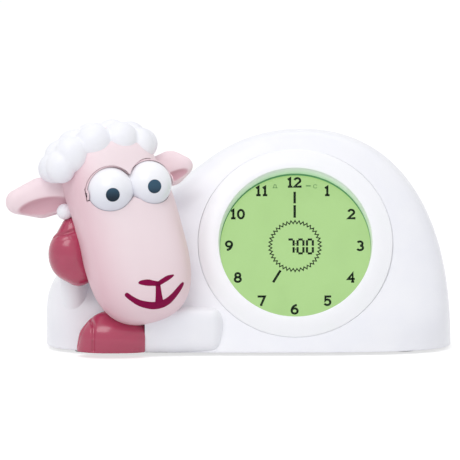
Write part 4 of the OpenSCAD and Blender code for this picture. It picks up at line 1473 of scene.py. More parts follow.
@dataclass
class Digits:
    """Plain dial figures drawn as strokes, with small slab feet."""

    height: float = 6.6
    stroke: float = 1.36
    wide: float = 1.1

    def strokes(self, figure: str) -> list[list[Flat]]:
        """The centre lines of one figure.

        Args:
            figure: The figure, 0 to 9.

        Returns:
            Its strokes about its middle.
        """
        top = self.height / 2 - self.stroke / 2
        neck = [(1.25, 2.5), (0.45, 2.45), (-0.5, 1.85), (-1.2, 0.85), (-1.6, -0.35), (-1.62, -1.05)]
        lines: dict[str, list[list[Flat]]] = {
            "0": [arc((0, 0), (1.62, top), 0, 360, 30)],
            "1": [[(-1.25, 1.75), (0.05, top), (0.05, -top)], [(-1.2, -top), (1.3, -top)]],
            "2": [
                [*arc((0, 1.15), (1.55, 1.57), 168, -22, 16), (-1.6, -top), (1.7, -top), (1.7, -top + 0.75)]
            ],
            "3": [
                arc((-0.1, 1.35), (1.4, 1.36), 152, -84, 16),
                arc((-0.1, -1.28), (1.68, 1.43), 88, -152, 18),
            ],
            "4": [[(0.7, -top), (0.7, top), (-1.75, -0.95), (1.85, -0.95)], [(-0.15, -top), (1.55, -top)]],
            "5": [
                [
                    *[(1.45, 2.0), (1.45, top), (-1.05, top), (-1.2, 0.15)],
                    *arc((-0.1, -0.98), (1.68, 1.73), 118, -152, 18),
                ]
            ],
            "6": [arc((0, -1.1), (1.62, 1.61), 0, 360, 24), neck],
            "7": [[(-1.7, 1.95), (-1.7, top), (1.65, top), (-0.35, -top)], [(-0.95, -top), (0.35, -top)]],
            "8": [arc((0, 1.4), (1.3, 1.31), 0, 360, 22), arc((0, -1.28), (1.62, 1.43), 0, 360, 24)],
            "9": [arc((0, 1.1), (1.62, 1.61), 0, 360, 24), [(-x, -y) for x, y in neck]],
        }
        return [[(x * self.wide, y) for x, y in line] for line in lines[figure]]

    def figures(self, text: str, at: Flat, low: float, high: float) -> Shape:
        """One or two figures.

        Args:
            text: The figures.
            at: Their middle.
            low: The ink's underside.
            high: The ink's top.

        Returns:
            The strokes as one shape.
        """
        places = {"10": (-2.75, 1.9), "11": (-2.05, 1.95), "12": (-2.7, 1.75)}.get(text, (0.0,))
        made = []
        for figure, offset in zip(text, places, strict=True):
            for line in self.strokes(figure):
                moved = [(x + at[0] + offset, y + at[1]) for x, y in line]
                closed = math.dist(moved[0], moved[-1]) < 1e-6
                made.append(ribbon(moved[:-1] if closed else moved, self.stroke, low, high, closed))
        return together(made)


@dataclass
class ClockFace:
    """The bezel ring, the lens and the lit display with its figures, hands and inner ring."""

    frame: Matrix
    bezel_r: float = 59.0
    window_r: float = 46.6
    throat_r: float = 45.7
    throat_drop: float = 1.4
    bezel_low: float = -3.4
    rise: float = 2.2
    ink_low: float = -4.85
    ink_high: float = -4.80
    centre: Flat = (-0.5, -0.5)
    dial_r: float = 39.7
    figures: Digits = field(default_factory=Digits)
    teeth: int = 40
    around: int = 256

    def bezel(self) -> Shape:
        """The ring, whose window narrows towards the lens and leans to its lower side."""
        outline = [
            (self.bezel_r, self.bezel_low),
            (self.bezel_r, -0.75),
            (self.bezel_r - 0.12, -0.35),
            (self.bezel_r - 0.4, -0.08),
            (self.bezel_r - 0.9, 0.12),
        ]
        edge = self.window_r + 1.6
        crest = self.bezel_r - 0.9
        for share in np.linspace(0.08, 1, 14):
            up = 0.12 + (self.rise - 0.12) * math.sin(share * math.pi / 2)
            outline.append((crest - (crest - edge) * share, up))
        for angle in np.linspace(80, 0, 7):
            r = self.window_r + 1.6 * (1 - math.cos(math.radians(90 - angle)))
            outline.append((r, self.rise - 1.2 * (1 - math.sin(math.radians(angle)))))
        outline.append((self.window_r, 0.6))
        rings = [circle(r, z, self.around) for r, z in outline]
        throat = circle(self.throat_r, self.bezel_low, self.around) - (0, self.throat_drop, 0)
        return skin([*rings, throat, rings[0]], False, False)

    def gasket(self) -> Shape:
        """A painted shadow: a dark green ring between the throat and the lens, widest at the top, where the
        throat's edge shades the lens.
        """
        outer = (self.throat_r - 0.02, self.throat_drop)
        inner = (self.throat_r - 0.12, self.throat_drop + 0.9)
        rings = [
            circle(r, z, self.around) - (0, drop_by, 0)
            for (r, drop_by), z in ((outer, -3.44), (outer, -3.2), (inner, -3.3), (inner, -3.44))
        ]
        return skin([*rings, rings[0]], False, False)

    def bar(self, first: Flat, last: Flat, width: float) -> Shape:
        """A straight line of ink.

        Args:
            first: Where it starts, from the dial's centre.
            last: Where it ends.
            width: Its width.

        Returns:
            The line.
        """
        x, y = self.centre
        ends = [(x + first[0], y + first[1]), (x + last[0], y + last[1])]
        return ribbon(ends, width, self.ink_low, self.ink_high)

    def dial(self) -> Shape:
        """The twelve figures."""
        made = []
        for hour in range(1, 13):
            angle = math.radians(90 - 30 * hour)
            x, y = self.dial_r * math.cos(angle), self.dial_r * math.sin(angle)
            at = (self.centre[0] + x, self.centre[1] + y)
            made.append(self.figures.figures(str(hour), at, self.ink_low, self.ink_high))
        return together(made)

    def hands(self) -> Shape:
        """The minute hand in two bars and the hour hand in one."""
        bars = (((0.1, 33.9), (0.1, 26.6)), ((0.1, 25.5), (0.1, 17.6)), ((-8.5, -15.4), (-13.0, -22.9)))
        return together(self.bar(first, last, 1.5) for first, last in bars)

    def tooth(self) -> Shape:
        """One tooth of the ring about the small figures, open where the next ones join."""
        points = []
        for k in range(2 * self.teeth):
            r = 16.0 if k % 2 == 0 else 14.1
            a = math.pi / 2 + math.pi * k / self.teeth
            points.append((r * math.cos(a), r * math.sin(a)))
        line = ribbon(points, 0.62, self.ink_low, self.ink_high, closed=True).points.reshape(-1, 4, 3)
        return skin([line[-2], line[0], line[1]], False, False)

    def small_time(self) -> Shape:
        """The seven-bar figures of the time in the middle."""
        wide, high, gap = 3.55, 8.7, 0.42
        bars = {
            "a": ((0, 1), (1, 1)),
            "b": ((1, 1), (1, 0.5)),
            "c": ((1, 0.5), (1, 0)),
            "d": ((0, 0), (1, 0)),
            "e": ((0, 0.5), (0, 0)),
            "f": ((0, 1), (0, 0.5)),
        }
        made = []
        for middle, lit_bars in ((-2.35, "abc"), (3.6, "abcdef"), (9.3, "abcdef")):
            for bar in lit_bars:
                a, b = (np.array((middle + (x - 0.5) * wide, -0.4 + (y - 0.5) * high)) for x, y in bars[bar])
                step = (b - a) / np.linalg.norm(b - a) * gap
                line = [tuple(a + step + self.centre), tuple(b - step + self.centre)]
                made.append(ribbon(line, self.figures.stroke, self.ink_low, self.ink_high))
        dots = [self.bar((0.3, up), (1.0, up), 0.55) for up in (1.3, -2.1)]
        return together(made + dots)

    def signs(self) -> Shape:
        """The small faint signs at the top: a bell, a bar and a ring."""
        x, y = self.centre
        right = [(0.6, 0.7), (0.7, -0.2), (1.2, -0.9)]
        outline = [(-a, b) for a, b in reversed(right)] + [(0, 1.2)] + right
        bell = [(x - 11.8 + a, y + 37.3 + b) for a, b in outline]
        made = ribbon(bell, 0.45, self.ink_low, self.ink_high, closed=True)
        made = made + self.bar((6.9, 37.6), (9.8, 37.6), 0.8)
        ring = arc((x + 12.6, y + 37.3), (1.1, 1.1), 30, 330, 14)
        return made + ribbon(ring, 0.4, self.ink_low, self.ink_high)

    def build(self, maker: Maker) -> None:
        """Makes the ring and all that the display shows, and dresses the stack behind it."""

        def lit(points: np.ndarray) -> np.ndarray:
            """How much of the display's green light is painted on a point of the ring as a reflection, most
            on the window's upper wall.
            """
            local = placed(points, self.frame.inverted())
            reach = np.linalg.norm(local[:, :2], axis=1)
            inward = np.clip((self.window_r + 1.0 - reach) / 1.1, 0, 1)
            inside = inward * np.clip((self.rise + 0.6 - local[:, 2]) / 5.6, 0, 1)
            return inside * np.clip(0.35 + 0.65 * local[:, 1] / self.window_r, 0.15, 1)

        # The ring's window wall carries a painted reflection of the display's green light.
        ring = self.bezel().on(self.frame)
        maker.piece("bezel", ring, RING, "bezel_white", ["bezel_ring"], sharp=50.0, tint=lit)
        # A dark ring stands in for the shade at the lens's upper edge: painted shadow.
        maker.piece("window_gasket", self.gasket().on(self.frame), PAINTED_WINDOW_SHADOW, "display_green")
        maker.piece("dial_figures", self.dial().on(self.frame), INK, "display_green")
        maker.piece("dial_hands", self.hands().on(self.frame), INK, "display_green")
        place = self.frame @ Matrix.Translation((self.centre[0] + 0.3, self.centre[1] - 0.2, 0))
        teeth = Pattern(Layout.RING, self.tooth(), self.teeth)
        maker.grown("dial_ring", teeth, place, INK, "display_green", weld=2e-6)
        maker.piece("small_time", self.small_time().on(self.frame), INK, "display_green")
        maker.piece("small_signs", self.signs().on(self.frame), FAINT, "display_green")
        maker.dress(DISPLAY, "lcd_panel")
        maker.dress(LENS, "clear_lens")
        maker.dress(GUIDE, "light_guide")
        maker.dress(SHEET, "reflector_sheet")
        maker.dress(LED, "backlight_leds")
        maker.dress(INNER, "lcd_frame")
        maker.dress(ZEBRA, "zebra_strips")
        maker.dress(Laminate(), "main_board", "button_board", "night_board")
        maker.dress(CHIP, "board_chips", "tact_switches")


# ---- The sheep ----


def hull(*parts: Shape) -> Shape:
    """The convex hull of several shapes."""
    mesh = bmesh.new()
    for part in parts:
        for point in part.points:
            mesh.verts.new(point)
    made = bmesh.ops.convex_hull(mesh, input=mesh.verts)
    spare = {g for g in made["geom_interior"] if isinstance(g, bmesh.types.BMVert)}
    bmesh.ops.delete(mesh, geom=list(spare), context="VERTS")
    bmesh.ops.recalc_face_normals(mesh, faces=mesh.faces)
    return Shape.of(mesh)


def tube(path: Sequence[Point], radius: float, steps: int = 12) -> Shape:
    """A round tube along points.

    Args:
        path: Its points.
        radius: Its radius.
        steps: Steps round it.

    Returns:
        The closed tube.
    """
    points = [Vector(p) for p in path]
    rings = []
    for i, point in enumerate(points):
        ahead = points[min(i + 1, len(points) - 1)] - points[max(i - 1, 0)]
        turn = ahead.to_track_quat("Z", "Y").to_matrix().to_4x4()
        rings.append(placed(circle(radius, 0.0, steps), Matrix.Translation(point) @ turn))
    return skin(rings)


def seen(surface: BVHTree, x: float, up: float, shift: float) -> tuple[Vector | None, Vector | None]:
    """Where a level view from the front meets a surface.

    Args:
        surface: The surface.
        x: Side in the view.
        up: Height in the view.
        shift: How far back the clock's middle lies.

    Returns:
        The point and the surface's normal towards the view.
    """
    rise, rim, front, start = math.radians(VIEW_RISE), 2.0, -50.0, -250.0
    toward = Vector((0, math.cos(rise), -math.sin(rise)))
    height = rim + (up - math.sin(rise) * (start - front)) / math.cos(rise)
    spot, normal, _, _ = surface.ray_cast(Vector((x, start + shift, height)), toward)
    if spot is None:
        return None, None
    return spot, -normal if normal.dot(toward) > 0 else normal


def smooth_line(points: Sequence[Sequence[float]], steps: int = 8) -> np.ndarray:
    """A smooth curve through points, as closer points."""
    p = np.asarray(points, float)
    p = np.vstack([2 * p[0] - p[1], p, 2 * p[-1] - p[-2]])
    out = []
    for i in range(1, len(p) - 2):
        for t in np.linspace(0, 1, steps, endpoint=False):
            a, b, c, d = p[i - 1], p[i], p[i + 1], p[i + 2]
            bend, twist = 2 * a - 5 * b + 4 * c - d, 3 * b - a - 3 * c + d
            out.append(0.5 * (2 * b + (c - a) * t + bend * t * t + twist * t**3))
    out.append(p[-2])
    return np.array(out)


@dataclass
class Head:
    """The pink face with its sockets and mouth, the white nape, the eyes and what turns in them."""

    shift: float = SHIFT
    middle: Point = (-61.3, -44.6, 79.0)
    turn: float = 18.0
    tip: float = 76.0
    roll: float = 10.5
    half: float = 61.0
    half_w: float = 31.8
    face: float = 25.0
    crown: float = 22.0
    chin: float = 12.0
    wall: float = 2.2
    power: float = 2.5
    seam: float = -8.0
    lean: float = 2.8
    groove_wide: float = 0.4
    groove_deep: float = 0.25
    eyes_at: Point = (1.4, 21.0, 17.5)
    eyes_roll: float = -3.0
    eye_r: float = 14.2
    socket_r: float = 15.7
    hub_r: float = 4.0
    eye_play: float = 0.3
    eye_gap: float = 24.6
    around: int = 160
    layers: int = 110
    ink_lift: float = 0.05
    ink_depth: float = 0.12

    def frame(self) -> Matrix:
        """The head's frame: x to the right, y to the crown, z out of the face."""
        x, y, z = self.middle
        turn = spin(self.turn, "Z") @ spin(self.tip, "X")
        return Matrix.Translation((x, y + self.shift, z)) @ turn @ spin(self.roll, "Z")

    def eyes(self) -> Matrix:
        """The eyes' frame: x along their axis."""
        return self.frame() @ Matrix.Translation(self.eyes_at) @ spin(self.eyes_roll, "Z")

    def ring(self, s: float, t: float, steps: int) -> np.ndarray:
        """One ring of the head at a share s of its half length, drawn in by t."""
        close = max(0.0, 1 - abs(s) ** 3.6) ** (1 / 2.4)
        w = (self.half_w - t) * close * (1 - 0.05 * s)
        f = (self.face - t) * close
        b = ((self.crown + self.chin) / 2 + (self.crown - self.chin) / 2 * s - t) * close
        c, v, reach = squircle(self.power, steps)
        v = v * reach
        share = min(max((s - 0.1) / 0.5, 0.0), 1.0)
        aside = -self.lean * share * share * (3 - 2 * share)
        along = np.full(steps, s * (self.half - t))
        return np.column_stack([w * c * reach + aside, along, np.where(v > 0, -v * b, -v * f)])

    def block(self, t: float, steps: int, layers: int) -> Shape:
        """The head's egg, drawn in by t, in its frame."""
        angles = [math.radians(-89.4 + 178.8 * k / layers) for k in range(layers + 1)]
        return skin([self.ring(math.sin(a), t, steps) for a in angles])

    def halves(self) -> tuple[Shape, Shape]:
        """The hollow face and nape in the head's frame."""
        outer, inner = self.block(0.0, self.around, self.layers), self.block(self.wall, 72, 44)
        sides = []
        for side in (1, -1):
            scored = outer.scored((0, 0, self.seam + side * self.groove_wide), (0, 0, 1))
            half = scored.half((0, 0, self.seam), (0, 0, -side))
            rim = np.abs(half.points[:, 2] - self.seam) < 1e-4
            flat = half.points[rim] * np.array((1, 1, 0))
            half.points[rim] -= flat / np.linalg.norm(flat, axis=1, keepdims=True) * self.groove_deep
            sides.append(half.less(inner.half((0, 0, self.seam - side * 2), (0, 0, -side))))
        return sides[0], sides[1]

    def socket(self) -> Shape:
        """The room of one eye: wide where its lid turns, and close to the eyeball under it."""
        far, low, high = 40.0, math.radians(-137), math.radians(-50)
        fan = [(0.0, 0.0)] + [(far * math.sin(a), far * math.cos(a)) for a in np.linspace(low, high, 7)]
        lip = skin([np.array([(x, y, z) for y, z in fan]) for x in (-far, far)])
        room = ball(ORIGIN, self.socket_r, 112).less(lip)
        hub = rod(self.hub_r, -self.socket_r, self.socket_r, 32).on(spin(90, "Y"))
        return room.with_(ball(ORIGIN, self.eye_r + self.eye_play, 112)).with_(hub)

    def eyeballs(self) -> Shape:
        """The two eyeballs, which meet in the middle, in the eyes' frame."""
        whole = ball(ORIGIN, self.eye_r, 96)
        gap = self.eye_gap / 2
        return together(whole.moved((s * gap, 0, 0)).half(ORIGIN, (-s, 0, 0), closed=False) for s in (-1, 1))

    def printed(self, skin_tree: BVHTree, line: Sequence[Sequence[float]]) -> Shape:
        """A brush stroke printed on the face.

        Args:
            skin_tree: The face's surface.
            line: The stroke's points as seen level from the front: side, height and width.

        Returns:
            The stroke as a thin solid.
        """
        fine = smooth_line(line, 6)
        across, last = 6, len(fine) - 1
        upper, lower = [], []
        for i, (x, up, width) in enumerate(fine):
            way = fine[min(i + 1, last)] - fine[max(i - 1, 0)]
            side = np.array((-way[1], way[0])) / math.hypot(way[0], way[1])
            for k in range(across + 1):
                at = np.array((x, up)) + side * width * (k / across - 0.5)
                spot, normal = seen(skin_tree, at[0], at[1], self.shift)
                upper.append(tuple(spot + normal * self.ink_lift))
                lower.append(tuple(spot - normal * self.ink_depth))
        rings = []
        for i in range(last + 1):
            part = slice(i * (across + 1), (i + 1) * (across + 1))
            rings.append(np.array(upper[part] + lower[part][::-1]))
        stroke = skin(rings, False, False)
        count = 2 * (across + 1)
        for start in (0, last * count):
            end = start + count - 1
            stroke.faces += [(start + k, start + k + 1, end - 1 - k, end - k) for k in range(across)]
        return stroke

    def mouth(self, skin_tree: BVHTree) -> Shape:
        """The printed nose and smile."""
        strokes = (
            [
                *[(-54.2, 42.2, 0.9), (-52.6, 42.6, 2.6), (-48.6, 42.6, 3.9)],
                *[(-45.0, 42.2, 3.2), (-41.4, 41.8, 2.9)],
            ],
            [
                *[(-42.6, 41.6, 2.6), (-39.6, 43.6, 2.9), (-36.8, 45.3, 2.9)],
                *[(-34.6, 46.4, 2.0), (-33.0, 47.2, 0.8)],
            ],
            [(-42.6, 42.4, 2.8), (-42.3, 39.0, 3.2), (-42.0, 35.0, 3.9), (-41.7, 30.8, 4.9)],
            [
                *[(-62.2, 35.9, 1.4), (-61.2, 35.2, 2.7), (-58.0, 32.8, 3.1), (-53.2, 30.2, 3.8)],
                *[(-46.8, 28.8, 4.4), (-41.6, 29.2, 4.5), (-37.1, 31.1, 4.1), (-33.6, 34.2, 3.5)],
                *[(-30.3, 38.2, 2.9), (-28.2, 41.2, 2.1), (-27.3, 42.7, 1.0)],
            ],
        )
        return together(self.printed(skin_tree, stroke) for stroke in strokes)

    def build(self, maker: Maker) -> None:
        """Makes the head's shells, eyes and mouth, and dresses what works the lids."""
        frame = self.frame()
        face, nape = self.halves()
        socket = self.socket()
        for side in (-1, 1):
            to_eye = frame.inverted() @ self.eyes() @ Matrix.Translation((side * self.eye_gap / 2, 0, 0))
            face = face.less(socket.on(to_eye))

        def blush(points: np.ndarray) -> np.ndarray:
            """How much deeper pink a point gets: more towards the face's sides and towards its chin."""
            local = placed(points, frame.inverted())
            side = np.clip((np.abs(local[:, 0] - 3) / self.half_w - 0.35) / 0.65, 0, 1)
            return side**1.6 * 0.8 + np.clip(-local[:, 1] / self.half, 0, 1) ** 2 * 0.5

        maker.piece("face", face.on(frame), FACE, "face_pink", ["face_shell"], sharp=35.0, tint=blush)
        maker.piece("nape", nape.on(frame), WOOL, "shell_white", ["nape_shell"], sharp=35.0)
        tree = self.block(0.0, self.around, self.layers).on(frame).tree()
        maker.piece("mouth", self.mouth(tree), MOUTH, "hoof_pink")
        eyes = self.eyeballs().on(self.eyes())
        maker.piece("eyeball_pair", eyes, EYE, "eye_white", ["eyeballs"], sharp=30.0)
        maker.dress(PUPIL, "pupils")
        maker.dress(LID, "eyelids")
        maker.dress(AXLE, "lid_axle")
        maker.dress(CAN, "eyelid_motor")
        maker.dress(INNER, "eye_bracket", "neck_mount")


@dataclass
class Wool:
    """The cap of soft curls over the crown and the nape."""

    head: Head
    voxel: float = 0.75

    def curls(self) -> list[tuple[float, float, float, Point]]:
        """The curls' centres and radii in the head's frame."""
        rows = [
            *[(172 - 26 * i, (-6, 42), (29, 14.5), 0.0, 9.8) for i in range(7)],
            *[(170 - 31 * i, (-6, 42), (27, 14), -11.0, 9.6) for i in range(6)],
        ]
        out = []
        for angle, (cx, cy), (rx, ry), z, r in rows:
            a = math.radians(angle)
            out.append((cx + rx * math.cos(a), cy + ry * math.sin(a), z, (r, r, r)))
        out += [(-22.0 + 14.5 * i, 34.0, -18.0, (9.0, 9.0, 9.0)) for i in range(4)]
        out += [
            (-35.0, 43.0, 10.0, (8.8, 10.2, 9.0)),
            (-27.0, 48.6, 11.5, (10.0, 11.2, 9.6)),
            (-11.4, 53.0, 12.0, (11.2, 10.8, 10.0)),
            (5.6, 51.2, 12.0, (10.4, 10.6, 10.0)),
            (18.0, 45.4, 9.5, (8.4, 10.6, 9.4)),
        ]
        return [*out, (-33.5, 17.2, -8.5, (5.0, 5.0, 5.0))]

    def build(self, maker: Maker) -> None:
        """Makes the wool."""
        curls = self.curls()
        places, scales = [curl[:3] for curl in curls], [curl[3] for curl in curls]
        pattern = Pattern(Layout.PLACES, ball(ORIGIN, 1.0, 32), places=places, scales=scales)
        grown = pattern.grow("wool_curls", maker.finish(WOOL), Matrix())
        wool = Shape.taken(grown).melted(self.voxel, 7, 0.6)
        wool = wool.less(self.head.block(0.25, 96, 60))
        maker.piece("wool", wool.on(self.head.frame()), WOOL, "wool_white", ["wool_cap"], sharp=60.0)


@dataclass
class Ear:
    """One flattened ear with a hollow on its lower front, darker pink there: the ear's own deeper pink with
    painted shade.
    """

    name: str
    root: Point
    tip: Point
    half_height: float
    tip_r: float
    hollow: Point
    hollow_size: Point
    hollow_turn: float
    shift: float = SHIFT

    def build(self, maker: Maker) -> None:
        """Makes the ear."""
        root, tip = Vector(self.root), Vector(self.tip)
        middle = (root + tip) / 2
        h = self.half_height
        ear = hull(
            ball(tuple(root), (0.8 * h, 0.56 * h, 0.86 * h)),
            ball(tuple(middle + Vector((0, 1, 0))), (h, 0.5 * h, 1.04 * h)),
            ball(tuple(tip), (self.tip_r, 0.6 * self.tip_r, self.tip_r)),
        )
        turn = Matrix.Translation(self.hollow) @ spin(self.hollow_turn, "Y")
        ear = ear.less(ball(ORIGIN, self.hollow_size).on(turn)).melted(0.7, 6).moved((0, self.shift, 0))
        inward = (Matrix.Translation((0, self.shift, 0)) @ turn).inverted()

        def depth(points: np.ndarray) -> np.ndarray:
            """How deep in the hollow a point lies, which sets how much deeper pink and painted shade it gets.
            """
            local = placed(points, inward) / (np.array(self.hollow_size) * 1.12)
            return np.clip((1.0 - np.linalg.norm(local, axis=1)) / 0.2, 0, 1) * 0.92

        name = f"ear_{self.name}"
        maker.piece(f"{name}_soft", ear, EAR, "ear_pink", [name], sharp=60.0, tint=depth)


@dataclass
class Legs:
    """The white foreleg and arm and their two dark pink hooves."""

    shift: float = SHIFT
    left: float = -50.5
    right: float = -3.2
    cap: float = 8.0
    power: float = 4.4

    def leg(self) -> Shape:
        """The foreleg, which lies along the dome's foot with a flat front and a round end."""
        rings = []
        around = 72
        c, s, reach = squircle(self.power, around)
        places = [self.left + (self.right - self.cap - self.left) * k / 12 for k in range(13)]
        angles = np.linspace(0, math.radians(88), 22)[1:]
        places += [self.right - self.cap * (1 - math.sin(a)) for a in angles]
        for x in places:
            share = max(0.0, (x - (self.right - self.cap)) / self.cap)
            close = (1 - share**2.6) ** (1 / 2.6)
            along = (x - self.left) / (self.right - self.left)
            middle, deep = -45.2 + 7.4 * along, 13.2
            z, tall = 16.2 - 1.0 * along, 13.9 - 1.0 * along
            side, up = middle + deep * c * reach * close, z + tall * s * reach * close
            rings.append(np.column_stack([np.full(around, x), side, up]))
        return skin(rings).half((0, 0, 3.0), (0, 0, -1))

    def grooved(self, hoof: Shape, lines: Sequence[tuple[Sequence[Flat], float]]) -> Shape:
        """Cuts clefts into a hoof where a level view from the front sees them, and softens it.

        Args:
            hoof: The hoof.
            lines: Each cleft's points in the view, and its radius.

        Returns:
            The soft hoof.
        """
        surface = hoof.tree()
        for line, radius in lines:
            path = [seen(surface, x, up, 0.0)[0] for x, up in smooth_line(line, 6)]
            hoof = hoof.less(tube([p for p in path if p is not None], radius))
        return hoof.melted(0.55, 2)

    def build(self, maker: Maker) -> None:
        """Makes the limbs and the hooves."""
        back = (0, self.shift, 0)
        maker.piece("leg", self.leg().moved(back), LEG, "shell_white", ["foreleg"], sharp=40.0)
        arm = limb((-92, -25, 24), 8.6, (-95, -35.5, 58), 8.2)
        maker.piece("arm", arm.moved(back), LEG, "shell_white", ["raised_arm"], sharp=40.0)
        low_toe = hull(ball((-96.2, -45.5, 61.5), (12.7, 12.9, 16.2)), ball((-90.5, -46, 52), 9.8))
        toe = ball((-94.6, -43, 75.5), (7.0, 8.4, 9.0))
        high_toe = hull(toe, ball((-94, -44, 71), (10.6, 9.8, 9.0)))
        upper = [(-107.5, 69.0), (-103.6, 71.2), (-98, 72.4), (-92.2, 73.9), (-88.8, 72.4), (-85, 71)]
        lower = [(-104.5, 66.0), (-99, 68.2), (-93, 70.0), (-87, 69.4)]
        cheek = self.grooved(low_toe.with_(high_toe), [(upper, 1.25), (lower, 0.55)])
        maker.piece("hoof_cheek", cheek.moved(back), HOOF, "hoof_pink", ["cheek_hoof"], sharp=60.0)
        dome = ball((-71, -51, 3.0), (20.8, 11.5, 25.0))
        low = ball((-72, -52, 11.5), (18.6, 12.2, 13.0))
        floor = hull(dome, low, ball((-61, -51, 10.5), (15.0, 12.0, 12.0)))
        floor = floor.half((0, 0, 3.3), (0, 0, -1)).half((-50.3, 0, 0), (1, 0, 0))
        inner = [(-81.7, -2.0), (-81.7, 5.0), (-81.6, 12.0), (-81.8, 17.0), (-83.2, 20.0), (-85.6, 20.2)]
        outer = [(-91.3, 3.0), (-90.0, 9.0), (-87.4, 15.0), (-83.0, 21.0), (-77.0, 25.0), (-70.0, 26.4)]
        floor = self.grooved(floor, [(inner, 1.2), (outer, 0.8)])
        maker.piece("hoof_floor", floor.moved(back), HOOF, "hoof_pink", ["floor_hoof"], sharp=60.0)


# ---- The back and the underside ----


@dataclass
class Screw:
    """A pan-head screw with a cross recess and a threaded shank, its head's seat at the origin."""

    length: float
    head_r: float = 2.3
    head_t: float = 1.0
    shank_r: float = 1.17
    pitch: float = 0.9

    def shape(self) -> Shape:
        """The screw, pointing down."""
        top, r = self.head_t, self.head_r
        head = [(r - 0.08, 0.0), (r, 0.08), (r, top - 0.35), (r - 0.12, top - 0.14)]
        head += [(r - 0.45, top), (0.02, top)]
        outline: list[Flat] = [(0.02, -self.length), (self.shank_r - 0.4, -self.length)]
        for k in range(max(2, int(self.length / self.pitch))):
            z = -self.length + 0.5 + k * self.pitch
            turn = [(self.shank_r - 0.22, z), (self.shank_r, z + self.pitch * 0.45)]
            outline += [p for p in turn if p[1] < -0.3]
        body = turned([*outline, (self.shank_r, 0.0), *head], 28, closed=False)
        bar = slab(r * 1.25, 0.5, top - 0.55, top + 0.4, 0.1, steps=2)
        cross = bar.with_(bar.on(spin(90, "Z")))
        return body.less(cross)


